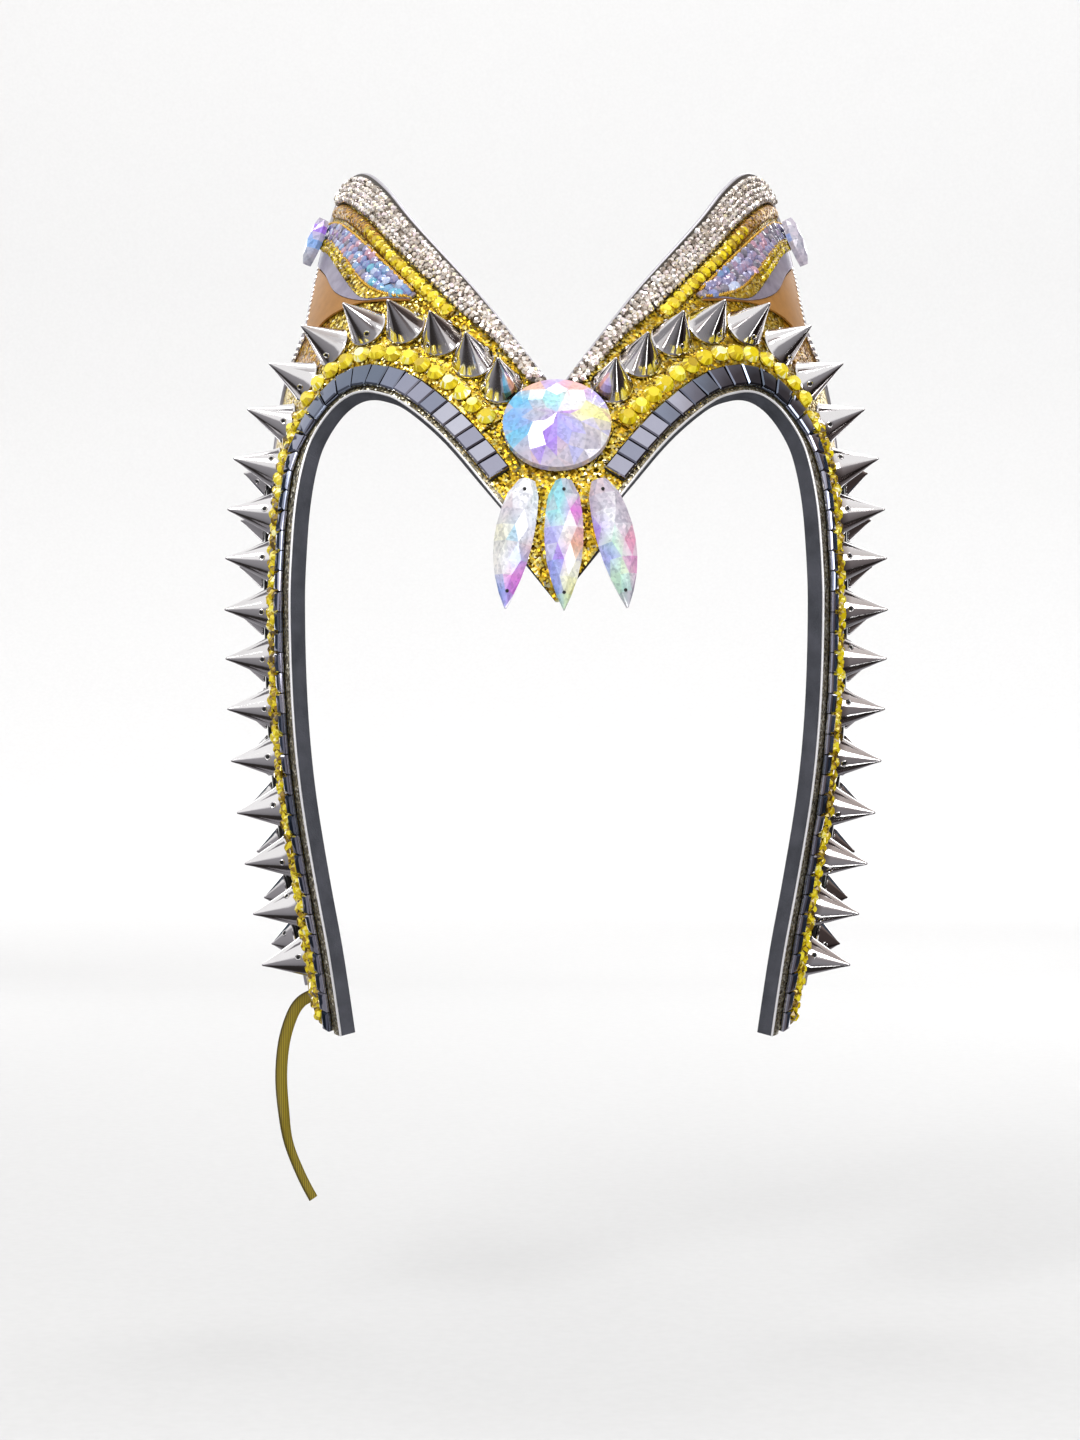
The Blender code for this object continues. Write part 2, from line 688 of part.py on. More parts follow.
def make_spikes(edge, disc, diameter):
    """The row of cone spikes outside the braid, from the round stone down to the hem."""
    path, start, run = spike_row(edge, disc, diameter)
    last = math.floor(SPIKE_ROW * (1 - SPIKE_SPREAD) / (SPIKE_DIAMETER + SPIKE_SPACING))
    data = spike_mesh(diameter)
    for side_name, side in SIDES:
        for k in range(last + 1):
            share = k / last
            turn, height = path.spot(start + run * share * (1 - SPIKE_SPREAD * (1 - share)))
            place = standing((side * turn, height), GLUE_GAP)
            add_object(f"spike_{side_name}_{k + 1:02d}", data, place)


def make_rear_row(side_name, side, edge, diameter):
    """Cone spikes on a tape along the back of the side panel."""
    row = HEM_WIDTH + TILE_WIDTH + BRAID_WIDTH + 3 * TRIM_GAP + diameter
    path = edge.lane(row + REAR_TAPE_WIDTH / 2)
    on_side = [(m, spot.y) for m, spot in zip(path.marks, path.spots) if m > path.length * REAR_SEARCH]
    start = next(m for m, height in on_side if height < level(REAR_START))
    end = hem_end(edge, path, row + REAR_TAPE_WIDTH) - SPIKE_END
    stations = path.stations(start, end, REAR_PITCH)
    offsets = (-REAR_TAPE_WIDTH / 2, REAR_TAPE_WIDTH / 2)
    columns = [[path.across(s, offset) for s in stations] for offset in offsets]
    top = GLUE_GAP + REAR_TAPE_THICKNESS
    mesh, faces = slab(columns, GLUE_GAP, (top, top))
    for face in faces:
        crown_on(mesh, face, ((diameter / 2, 0.0), (0.0, REAR_SPIKE_HEIGHT)))
    bmesh.ops.recalc_face_normals(mesh, faces=mesh.faces)
    add_body(f"rear_spike_row_{side_name}", mesh, "chromed_spike", side)


def make_wing_trims(side_name, side, disc):
    """The crystal mesh band along the wing's upper edge, and the stones below it."""
    upper = Path(curve_through(outline_spots(2)[:WING_ROWS], SAMPLES_PER_ROW))
    lower = Path(curve_through(spots_of(MESH_LOWER_EDGE), SAMPLES_PER_ROW))
    columns_count = 2 * MESH_RIDGES
    rows = []
    first = upper.first_clear(*disc)
    for k in range(MESH_STATIONS + 1):
        share = k / MESH_STATIONS
        above = upper.spot(first + (upper.length - first) * share)
        rows.append(lerped(above, lower.spot(lower.length * share), columns_count))
    columns = [[row[c] for row in rows] for c in range(columns_count + 1)]
    low = GLUE_GAP + MESH_THICKNESS
    highs = [low + (MESH_RIDGE if c % 2 else 0.0) for c in range(columns_count + 1)]
    mesh = slab(columns, GLUE_GAP, highs)[0]
    add_body(f"crystal_band_{side_name}", mesh, "crystal_mesh", side)

    stations = lower.stations(ROW_START, lower.length - ROW_PITCH / 2, ROW_PITCH)
    offsets = (-TRIM_GAP, -TRIM_GAP - ROW_WIDTH)
    columns = [[lower.across(s, offset) for s in stations] for offset in offsets]
    top = GLUE_GAP + ROW_THICKNESS
    mesh, faces = slab(columns, GLUE_GAP, (top, top))
    raise_cushion_stones(mesh, faces, ROW_STONE_MARGIN, ROW_STONE_HEIGHT)
    add_body(f"wing_stone_row_{side_name}", mesh, "yellow_stone", side)


def make_inlay(side_name, side):
    """The wing's backing plate with an iridescent field, a gold bar and two plain panels."""
    steps = INLAY_STATIONS
    columns = []
    for bounds in zip(*INLAY):
        line = Path(curve_through(spots_of(bounds), SAMPLES_PER_ROW))
        columns.append([line.spot(line.length * k / steps) for k in range(steps + 1)])
    top = GLUE_GAP + INLAY_THICKNESS
    mesh, faces = slab(columns, GLUE_GAP, [top] * len(columns))
    field = faces[STONE_FIELD * steps : (STONE_FIELD + 1) * steps]
    bar = faces[GOLD_BAR * steps + steps // 2 : (GOLD_BAR + 1) * steps]
    raise_cushion_stones(mesh, field, INLAY_MARGIN, INLAY_STONE_HEIGHT)
    raise_plates(mesh, bar, INLAY_MARGIN, INLAY_STONE_HEIGHT)
    add_body(f"wing_inlay_{side_name}", mesh, "wing_inlay", side)


def make_edge_stone(side_name, side):
    """A navette stone over the back end of the inlay."""
    turn, share = EDGE_STONE_SPOT
    spot = Vector((side * turn, level(share)))
    carrier = GLUE_GAP + INLAY_THICKNESS + INLAY_STONE_HEIGHT
    outline = edge_stone_outline()
    mesh = cut_stone(outline, EDGE_CUT, EDGE_STONE_HEIGHT)
    data = mesh_data(mesh, f"wing_edge_stone_{side_name}", "iridescent_stone")
    lift = seat_lift(outline, spot, carrier)
    add_object(f"wing_edge_stone_{side_name}", data, standing(spot, lift))


def plaque_half_width(height, point_height):
    """The plaque's half width: a disc round the stone, and a pointed tail."""
    radius = ROUND_STONE / 2 + PLAQUE_RIM
    rise = height / math.cos(BROW_SLOPE)
    share = height / point_height
    if share < PLAQUE_TAIL[0][0]:
        return math.sqrt(max(radius**2 - rise**2, 0.0))
    last = len(PLAQUE_TAIL) - 2
    k = next((i for i in range(last) if share <= PLAQUE_TAIL[i + 1][0]), last)
    (low, start), (high, end) = PLAQUE_TAIL[k], PLAQUE_TAIL[k + 1]
    return (start + (end - start) * (share - low) / (high - low)) * PLAQUE_WIDTH / 2


def make_plaque(point_height):
    """The glittered plaque behind the brow stones."""
    crest = (ROUND_STONE / 2 + PLAQUE_RIM) * math.cos(BROW_SLOPE)
    heights = [crest * math.sin(math.radians(angle)) for angle in PLAQUE_ANGLES]
    marks = [row[0] for row in PLAQUE_TAIL]
    for mark, following in zip(marks, marks[1:]):
        steps = math.ceil((following - mark) * abs(point_height) / PLAQUE_STEP)
        heights += [(mark + (following - mark) * k / steps) * point_height for k in range(steps)]
    heights.append(point_height)
    rows = [(height, plaque_half_width(height, point_height)) for height in heights]
    columns = [
        [spot_across(share * half, height) for height, half in rows] for share in PLAQUE_COLUMNS
    ]
    top = GLUE_GAP + PLAQUE_THICKNESS
    mesh = slab(columns, GLUE_GAP, [top] * len(columns))[0]
    add_body("centre_plaque", mesh, "gold_glitter")


def make_round_stone():
    """The round stone at the middle of the brow."""
    spot = Vector((0, 0))
    outline = round_outline()
    mesh = cut_stone(outline, ROUND_CUT, ROUND_STONE_HEIGHT)
    lift = seat_lift(outline, spot, GLUE_GAP + PLAQUE_THICKNESS)
    data = mesh_data(mesh, "centre_stone", "iridescent_stone")
    add_object("centre_stone", data, standing(spot, lift))


def make_drops():
    """Three long drops below the round stone, the outer two splayed."""
    top = -(ROUND_STONE / 2 + DROP_GAP) * math.cos(BROW_SLOPE)
    for name, top_x, degrees, bow in DROPS:
        splay = math.radians(degrees)
        x = top_x + math.sin(splay) * DROP_LENGTH / 2
        height = top - DROP_LENGTH / 2 * math.cos(splay)
        spot = spot_across(x, height)
        outline = drop_outline(bow)
        mesh = cut_stone(outline, DROP_CUT, DROP_HEIGHT)
        data = mesh_data(mesh, f"drop_{name}", "iridescent_stone")
        lift = seat_lift(outline, spot, GLUE_GAP + PLAQUE_THICKNESS, splay)
        add_object(f"drop_{name}", data, standing(spot, lift, splay))


def make_tie():
    """The ribbon tie, as a tube along its route."""
    curve = bpy.data.curves.new("tie_ribbon", "CURVE")
    curve.dimensions = "3D"
    curve.bevel_depth = TIE_WIDTH / 2
    curve.bevel_resolution = 2
    curve.use_fill_caps = True
    front, front_share, back, back_share = OUTLINE[-1]
    along = (abs(TIE_TURN) - front) / (back - front)
    hem = (TIE_TURN, level(front_share + (back_share - front_share) * along))
    sewn = shell_point(hem, -FOAM_THICKNESS / 2) - Vector((0, 0, GLUE_GAP + TIE_WIDTH / 2))
    points = curve_through((sewn, *TIE_ROUTE), TIE_STEPS)
    line = curve.splines.new("POLY")
    line.points.add(len(points) - 1)
    for target, point in zip(line.points, points):
        target.co = (*point, 1)
    curve.materials.append(finish_of("satin_ribbon"))
    add_object("tie_ribbon", curve)


def main():
    for old in list(bpy.data.objects):
        bpy.data.objects.remove(old, do_unlink=True)
    edge = Path(curve_through(outline_spots(0), SAMPLES_PER_ROW))
    disc = (shell_point((0, 0)), ROUND_STONE / 2 + PLAQUE_RIM + TRIM_GAP)
    make_shell()
    make_plaque(level(OUTLINE[0][1]) - PLAQUE_OVERHANG)
    make_round_stone()
    make_drops()
    diameter = spike_diameter(edge, disc)
    make_spikes(edge, disc, diameter)
    for side_name, side in SIDES:
        make_mirror_strip(side_name, side, edge)
        make_braid(side_name, side, edge, disc)
        make_rear_row(side_name, side, edge, diameter)
        make_wing_trims(side_name, side, disc)
        make_inlay(side_name, side)
        make_edge_stone(side_name, side)
    make_tie()


main()
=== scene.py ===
import math
import random

import bmesh
import bpy
import numpy as np
from mathutils import Matrix, Vector


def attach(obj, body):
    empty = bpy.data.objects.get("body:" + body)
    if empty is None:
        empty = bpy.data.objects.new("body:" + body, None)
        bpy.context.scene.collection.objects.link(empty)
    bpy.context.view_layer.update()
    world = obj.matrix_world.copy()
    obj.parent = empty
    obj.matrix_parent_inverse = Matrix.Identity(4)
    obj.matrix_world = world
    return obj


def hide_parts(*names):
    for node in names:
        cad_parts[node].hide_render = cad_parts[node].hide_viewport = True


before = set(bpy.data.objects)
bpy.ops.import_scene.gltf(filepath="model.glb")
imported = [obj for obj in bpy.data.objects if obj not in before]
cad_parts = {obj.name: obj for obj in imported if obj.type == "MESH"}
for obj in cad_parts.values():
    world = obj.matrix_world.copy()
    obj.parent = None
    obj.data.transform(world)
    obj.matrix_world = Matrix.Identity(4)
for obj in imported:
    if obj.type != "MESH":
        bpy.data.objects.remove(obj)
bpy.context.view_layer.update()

MM = 0.001
TAU = 2 * math.pi
BODY = "root"
SIDES = {"left": -1, "right": 1}

# The hood's own sizes, as in the CAD source
HALF_WIDTH = 71.5 * MM
SHELL_DEPTH = 75.0 * MM
BROW_TO_TIP = 72.5 * MM
BROW_TO_HEM = 142.0 * MM
FOAM_THICKNESS = 4.0 * MM
SECTION_POWER = 2.5
GLUE_GAP = 0.3 * MM
TRIM_GAP = 0.35 * MM
HEM_WIDTH = 1.3 * MM
TILE_WIDTH = 5.5 * MM
TILE_PITCH = 4.8 * MM
TILE_START = 12.0 * MM
BRAID_WIDTH = 5.9 * MM
BRAID_PITCH = 4.6 * MM
ARCH_SHARE = 0.52
SPIKE_DIAMETER = 10.2 * MM
SPIKE_HEIGHT = 11.0 * MM
SPIKE_SPREAD = 0.085
SPIKE_COUNT = 19
SPIKE_END = 9.0 * MM
REAR_TAPE_WIDTH = 11.0 * MM
REAR_PITCH = 12.0 * MM
REAR_SPIKE_HEIGHT = 6.0 * MM
REAR_START = 0.03
ROW_WIDTH = 3.7 * MM
ROW_PITCH = 3.5 * MM
ROW_START = 29.0 * MM
EDGE_STONE_LENGTH = 13.0 * MM
EDGE_STONE_WIDTH = 6.6 * MM
EDGE_STONE_HEIGHT = 3.4 * MM
ROUND_STONE = 25.0 * MM
ROUND_STONE_HEIGHT = 6.2 * MM
PLAQUE_RIM = 0.4 * MM
PLAQUE_THICKNESS = 1.5 * MM
PLAQUE_WIDTH = 25.0 * MM
PLAQUE_OVERHANG = 6.5 * MM
DROP_LENGTH = 31.0 * MM
DROP_WIDTH = 8.9 * MM
DROP_HEIGHT = 4.6 * MM
DROP_BEND = 0.8 * MM
DROP_GAP = 1.3 * MM
TIE_WIDTH = 3.0 * MM
TIE_TURN = -78.0

# The scene's own sizes
SIDE_HEM = 2.0 * MM  # by which the hem is wider down the sides
SHOULDER_SHARE = 0.37  # share of the braid's length at which its small stones begin
# Small stones: diameter and height in millimetres, and facets
ARCH_STONE = (4.5, 1.8, 12)
SIDE_STONE = (2.5, 1.1, 7)
RHINESTONE = (1.75, 1.05, 8)
BAR_STONE = (2.2, 1.0, 8)
CHAIN_STONE = (1.5, 0.8, 8)
# Steps along the hood's curves
CURVE_STEPS = 8  # points of a curve to each row of its table
MARCH_STEP = 3.0 * MM  # longest step across the hood's curve
SEARCH_STEP = 0.5 * MM

# Height share, half width as a share, and how far back as a share of the depth
SECTIONS = (
    (-1.000, 0.853, 0.000), (-0.775, 0.923, -0.073), (-0.528, 0.982, -0.147),
    (-0.268, 1.000, -0.165), (-0.169, 1.000, -0.140), (-0.085, 1.000, -0.091),
    (0.000, 0.993, 0.000), (0.500, 0.930, 0.296), (1.000, 0.811, 0.592),
)
# Turn in degrees and height share, on the face opening's edge and then on the rim
OUTLINE = (
    (0.0, -0.232, 0.0, 0.125), (10.0, -0.117, 5.0, 0.252),
    (19.5, -0.008, 15.2, 0.505), (27.6, 0.112, 27.5, 0.765),
    (33.0, 0.154, 35.0, 0.908), (37.5, 0.160, 42.5, 0.985),
    (41.8, 0.132, 50.5, 0.988), (45.8, 0.077, 58.0, 0.925),
    (49.3, 0.004, 60.0, 0.786), (51.3, -0.039, 58.5, 0.607),
    (52.8, -0.085, 58.5, 0.428), (54.0, -0.141, 66.0, 0.303),
    (54.8, -0.211, 78.0, 0.138), (55.2, -0.296, 86.0, -0.070),
    (55.0, -0.387, 88.0, -0.246), (54.2, -0.493, 88.0, -0.408),
    (52.8, -0.613, 86.5, -0.556), (50.5, -0.739, 84.0, -0.690),
    (48.0, -0.859, 81.5, -0.817), (46.6, -1.000, 80.0, -0.935),
)
WING_ROWS = 8  # rows of the outline whose rim is the wing's upper edge
# Turn and height share
MESH_LOWER_EDGE = (
    (4.7, 0.170), (8.0, 0.248), (12.2, 0.337), (17.6, 0.427), (22.2, 0.516),
    (29.5, 0.650), (36.6, 0.772), (43.5, 0.850), (50.0, 0.895), (56.0, 0.905),
)
# Turn and height share on each of the lines between the wing's panels, from the root to the tip
INLAY = (
    ((25.7, 0.493), (26.6, 0.481), (26.8, 0.478), (27.0, 0.475), (27.2, 0.472)),
    ((30.0, 0.570), (31.0, 0.494), (31.2, 0.488), (31.4, 0.483), (31.6, 0.478)),
    ((34.8, 0.650), (36.4, 0.538), (37.8, 0.497), (38.3, 0.488), (38.8, 0.479)),
    ((41.7, 0.742), (43.2, 0.648), (44.5, 0.600), (45.6, 0.532), (47.0, 0.445)),
    ((49.6, 0.808), (50.3, 0.734), (50.8, 0.684), (51.4, 0.614), (53.0, 0.393)),
    ((58.4, 0.830), (58.4, 0.770), (58.2, 0.731), (57.4, 0.662), (56.9, 0.393)),
)
EDGE_STONE_SPOT = (57.0, 0.742)
# Share of a length and half width as a share
PLAQUE_TAIL = ((0.215, 0.660), (0.335, 0.660), (0.470, 0.985), (0.620, 1.000), (1.000, 0.030))
DROP_OUTLINE = (
    (0.00, 0.34), (0.05, 0.62), (0.17, 0.86), (0.42, 1.00), (0.66, 0.84), (0.85, 0.45), (1.00, 0.00)
)
NAVETTE = (
    (0.0, 0.0), (0.06, 0.28), (0.2, 0.66), (0.36, 0.93), (0.5, 1.0),
    (0.64, 0.93), (0.8, 0.66), (0.94, 0.28), (1.0, 0.0),
)
# Name, place across the brow, splay in degrees, and the way that it bows
DROPS = (
    ("left", -6.7 * MM, -9.0, -1), ("centre", 1.5 * MM, 0.0, 0), ("right", 9.4 * MM, 11.5, 1)
)
TIE_ROUTE = (
    (-0.0640, 0.0572, -0.1370), (-0.0664, 0.0572, -0.1408),
    (-0.0683, 0.0572, -0.1474), (-0.0690, 0.0572, -0.1557),
    (-0.0685, 0.0572, -0.1640), (-0.0673, 0.0572, -0.1723),
    (-0.0642, 0.0572, -0.1804), (-0.0610, 0.0572, -0.1866),
)


# The hood's surface, as in the CAD source. A spot is a turn in degrees and a height.


def smooth(rows, column, position):
    """A smooth curve through one column of rows of (position, value, ...), read at a position."""
    last = len(rows) - 1
    k = next((i for i in range(last - 1) if position < rows[i + 1][0]), last - 1)

    def slope(i):
        low, high = rows[max(i - 1, 0)], rows[min(i + 1, last)]
        return (high[column] - low[column]) / (high[0] - low[0])

    span = rows[k + 1][0] - rows[k][0]
    t = (position - rows[k][0]) / span
    start, end = rows[k][column], rows[k + 1][column]
    value = start * (2 * t**3 - 3 * t**2 + 1) + end * (3 * t**2 - 2 * t**3)
    return value + span * (slope(k) * (t**3 - 2 * t**2 + t) + slope(k + 1) * (t**3 - t**2))


def level(share):
    return share * (BROW_TO_TIP if share > 0 else BROW_TO_HEM)


SECTION_ROWS = [(level(s), half * HALF_WIDTH, back * SHELL_DEPTH) for s, half, back in SECTIONS]


def section(height):
    return smooth(SECTION_ROWS, 1, height), smooth(SECTION_ROWS, 2, height)


BROW_SLOPE = math.atan2(section(MM)[1] - section(-MM)[1], 2 * MM)
SEAT_SHIFT = (
    -FOAM_THICKNESS * math.cos(BROW_SLOPE) - section(FOAM_THICKNESS * math.sin(BROW_SLOPE))[1]
)


def raw_point(turn, height):
    half, back = section(height)
    sine, cosine = math.sin(math.radians(turn)), math.cos(math.radians(turn))
    power = SECTION_POWER
    reach = ((abs(sine) / half) ** power + (abs(cosine) / SHELL_DEPTH) ** power) ** (-1 / power)
    return Vector((reach * sine, SEAT_SHIFT + back + SHELL_DEPTH - reach * cosine, height))


def outward(turn, height):
    sideways = raw_point(turn + 0.05, height) - raw_point(turn - 0.05, height)
    upwards = raw_point(turn, height + 0.05 * MM) - raw_point(turn, height - 0.05 * MM)
    return sideways.cross(upwards).normalized()


def shell_point(spot, lift=0.0):
    point = raw_point(*spot)
    return point + lift * outward(*spot) if lift else point


def spot_of(point):
    middle = SEAT_SHIFT + section(point.z)[1] + SHELL_DEPTH
    return Vector((math.degrees(math.atan2(point.x, middle - point.y)), point.z))


def spot_across(x, height):
    half, _ = section(height)
    ahead = SHELL_DEPTH * (1 - (abs(x) / half) ** SECTION_POWER) ** (1 / SECTION_POWER)
    return Vector((math.degrees(math.atan2(x, ahead)), height))


def curve_through(points):
    found = []
    last = len(points) - 1
    for k in range(last):
        before, start, end, after = (
            Vector(points[min(max(k + m, 0), last)]) for m in (-1, 0, 1, 2)
        )
        for step in range(CURVE_STEPS):
            t = step / CURVE_STEPS
            bend = (2 * before - 5 * start + 4 * end - after) * t**2
            bend += (3 * start - before - 3 * end + after) * t**3
            found.append((2 * start + (end - before) * t + bend) / 2)
    return found + [Vector(points[-1])]


def stations(start, end, pitch):
    count = max(1, round((end - start) / pitch))
    return [start + (end - start) * k / count for k in range(count + 1)]


def middles(start, end, pitch):
    ends = stations(start, end, pitch)
    return [(a + b) / 2 for a, b in zip(ends, ends[1:])]


class Path:
    """A line of spots on the hood, read by its length."""

    def __init__(self, spots):
        self.spots = spots
        self.marks = [0.0]
        for a, b in zip(spots, spots[1:]):
            self.marks.append(self.marks[-1] + (shell_point(b) - shell_point(a)).length)
        self.length = self.marks[-1]

    def spot(self, mark):
        last = len(self.spots) - 1
        k = next((i for i in range(last - 1) if mark < self.marks[i + 1]), last - 1)
        share = (mark - self.marks[k]) / (self.marks[k + 1] - self.marks[k])
        return self.spots[k].lerp(self.spots[k + 1], share)

    def tangent(self, mark):
        ahead, behind = self.spot(mark + MM), self.spot(mark - MM)
        return (shell_point(ahead) - shell_point(behind)).normalized()

    def across(self, mark, offset):
        spot, tangent = self.spot(mark), self.tangent(mark)
        steps = max(1, math.ceil(abs(offset) / MARCH_STEP))
        for _ in range(steps):
            aside = outward(*spot).cross(tangent).normalized()
            spot = spot_of(shell_point(spot) + aside * (offset / steps))
        return spot

    def lane(self, offset):
        spots = [self.across(mark, offset) for mark in self.marks]
        return Path([spot for spot in spots if spot.x > 0])

    def lanes(self, start, end, step, low, high, count=6):
        """Columns of spots along the path, from one offset to another."""
        marks = stations(start, end, step)
        offsets = [low + (high - low) * c / count for c in range(count + 1)]
        return [[self.across(mark, offset) for mark in marks] for offset in offsets]

    def seat(self, mark, side, lift, offset=0.0, spin=0.0, lean=(0.0, 0.0), size=1.0):
        """The placing of a small piece on the path or beside it."""
        spot = self.across(mark, offset) if offset else self.spot(mark)
        return seat(spot, self.tangent(mark), side, lift, spin, lean, size)

    def off_the_plaque(self, margin=0.0, offsets=(0.0,)):
        """The mark from which the path is clear of the round plaque."""
        centre, radius = shell_point((0, 0)), ROUND_STONE / 2 + PLAQUE_RIM + TRIM_GAP + margin
        mark = self.length
        while mark > 0:
            spots = [self.across(mark, offset) for offset in offsets]
            if any((shell_point(spot) - centre).length < radius for spot in spots):
                break
            mark -= SEARCH_STEP
        return mark + SEARCH_STEP


def line_of(rows):
    """A path through rows of turn and height share."""
    return Path(curve_through([(turn, level(share)) for turn, share in rows]))


EDGE = line_of([row[:2] for row in OUTLINE])
RIM = line_of([row[2:] for row in OUTLINE])


def hem_end(path, reach):
    """Where a path that runs beside the edge meets the side panel's hem."""
    _, _, turn, share = OUTLINE[-1]
    hem = shell_point((turn, level(share))) - shell_point(EDGE.spots[-1])
    tangent = EDGE.tangent(EDGE.length)
    aside = outward(*EDGE.spots[-1]).cross(tangent)
    return path.length + reach * hem.dot(tangent) / hem.dot(aside)


def standing(spot, lift, tilt=0.0):
    """The placing of a piece whose back lies above a spot, its +Y upwards and turned by tilt."""
    normal = outward(*spot)
    across = Vector((0, 0, 1)).cross(normal).normalized()
    turned = Matrix((across, normal.cross(across), normal)).transposed().to_4x4()
    return Matrix.Translation(shell_point(spot, lift)) @ turned @ Matrix.Rotation(tilt, 4, "Z")


def seat_lift(outline, spot, carrier, tilt=0.0):
    """How high a flat back lies so that its outline clears what carries it."""
    place = standing(spot, 0.0, tilt)
    lift = carrier
    for point in outline:
        edge = place @ Vector((*point, 0))
        under = shell_point(spot_of(edge), carrier)
        lift = max(lift, (under - edge).dot(outward(*spot)))
    return lift + GLUE_GAP


def seat(spot, ahead, side, lift, spin=0.0, lean=(0.0, 0.0), size=1.0):
    """The placing of a small piece on the hood: x along ahead, z outwards."""
    turn, height = side * spot[0], spot[1]
    normal = outward(turn, height)
    along = Vector((side * ahead.x, ahead.y, ahead.z))
    along = (along - along.dot(normal) * normal).normalized()
    turned = Matrix((along, normal.cross(along), normal)).transposed().to_4x4()
    place = Matrix.Translation(shell_point((turn, height), lift)) @ turned
    place = place @ Matrix.Rotation(spin, 4, "Z") @ Matrix.Rotation(lean[0], 4, "X")
    return place @ Matrix.Rotation(lean[1], 4, "Y") @ Matrix.Scale(size, 4)


def tipped(rng, amount):
    """A random lean about both axes, in radians."""
    return rng.gauss(0, amount), rng.gauss(0, amount)


# Materials


def tone(code):
    """An sRGB hex colour as linear values."""
    parts = [int(code[i : i + 2], 16) / 255 for i in (1, 3, 5)]
    return (*[p / 12.92 if p <= 0.04045 else ((p + 0.055) / 1.055) ** 2.4 for p in parts], 1)


def node(tree, kind, settings=(), links=()):
    """Adds a node, or takes one that is there, with its settings and links. A setting is a
    socket's value, a property, or the stops of a colour ramp. A link comes from a node's first
    output, or from the one named beside it."""
    there = isinstance(kind, bpy.types.Node)
    made = kind if there else tree.nodes.new("ShaderNode" + kind)
    for name, value in dict(settings).items():
        if name == "stops":
            elements = made.color_ramp.elements
            while len(elements) < len(value):
                elements.new(0.5)
            for element, (position, code) in zip(elements, value):
                element.position, element.color = position, tone(code)
        elif isinstance(name, int) or name in made.inputs:
            made.inputs[name].default_value = value
        else:
            setattr(made, name, value)
    for name, source in dict(links).items():
        source, output = source if isinstance(source, tuple) else (source, 0)
        tree.links.new(source.outputs[output], made.inputs[name])
    return made


def finish(name, **settings):
    """A material with its shader's values, its node tree, its shader and its texture space."""
    material = bpy.data.materials.new(name)
    material.use_nodes = True
    tree = material.node_tree
    shader = tree.nodes["Principled BSDF"]
    for key, value in settings.items():
        shader.inputs[key.replace("_", " ")].default_value = value
    return material, tree, shader, (node(tree, "TexCoord"), "Object")


def per_mm(size):
    """A texture scale that repeats at a size in millimetres."""
    return 1 / (size * MM)


def glitter(name, stops, flake, tilt, metallic=0.85):
    """Foil flakes in a clear binder: every flake has its own tone, whose palest end stands as
    painted glints, and leans its own way.
    """
    material, tree, shader, place = finish(name, Roughness=0.28, Metallic=metallic)
    flakes = node(tree, "TexVoronoi", {"Scale": per_mm(flake)}, {"Vector": place}), "Color"
    shade = node(tree, "SeparateColor", {}, {"Color": flakes})
    colour = node(tree, "ValToRGB", {"stops": stops}, {"Fac": shade})
    middle = (0.5, 0.5, 0.5)
    centred = node(tree, "VectorMath", {"operation": "SUBTRACT", 1: middle}, {0: flakes})
    leaning = node(tree, "VectorMath", {"operation": "SCALE", "Scale": tilt}, {0: centred})
    upright = node(tree, "NewGeometry"), "Normal"
    summed = node(tree, "VectorMath", {"operation": "ADD"}, {0: leaning, 1: upright})
    unit = node(tree, "VectorMath", {"operation": "NORMALIZE"}, {0: summed})
    node(tree, shader, {}, {"Base Color": colour, "Normal": unit})
    return material


def foam(name, stops, pore, depth, roughness):
    """EVA foam: a dull closed-cell face with small pores."""
    material, tree, shader, place = finish(name, Roughness=roughness, Specular_IOR_Level=0.35)
    cloud = node(tree, "TexNoise", {"Scale": per_mm(6.0), "Detail": 4.0}, {"Vector": place})
    colour = node(tree, "ValToRGB", {"stops": stops}, {"Fac": cloud})
    cells = node(tree, "TexVoronoi", {"Scale": per_mm(pore)}, {"Vector": place})
    bump = node(tree, "Bump", {"Strength": 0.5, "Distance": depth * MM}, {"Height": cells})
    node(tree, shader, {}, {"Base Color": colour, "Normal": bump})
    return material


def tinted(name, stops, grain=0.0, wander=0.1, **settings):
    """A cut or moulded piece whose shade follows its own tint and a slow drift across it."""
    material, tree, shader, place = finish(name, **settings)
    tint = node(tree, "Attribute", {"attribute_name": "tint"}), "Fac"
    drift = node(tree, "TexNoise", {"Scale": per_mm(2.4), "Detail": 2.0}, {"Vector": place})
    centred = node(tree, "Math", {"operation": "SUBTRACT", 1: 0.5}, {0: drift})
    shifted = node(tree, "Math", {"operation": "MULTIPLY_ADD", 1: wander}, {0: centred, 2: tint})
    colour = node(tree, "ValToRGB", {"stops": stops}, {"Fac": shifted})
    node(tree, shader, {}, {"Base Color": colour})
    if grain:
        fine = node(tree, "TexNoise", {"Scale": per_mm(grain), "Detail": 3.0}, {"Vector": place})
        bump = node(tree, "Bump", {"Strength": 0.15, "Distance": 0.05 * MM}, {"Height": fine})
        node(tree, shader, {}, {"Normal": bump})
    return material


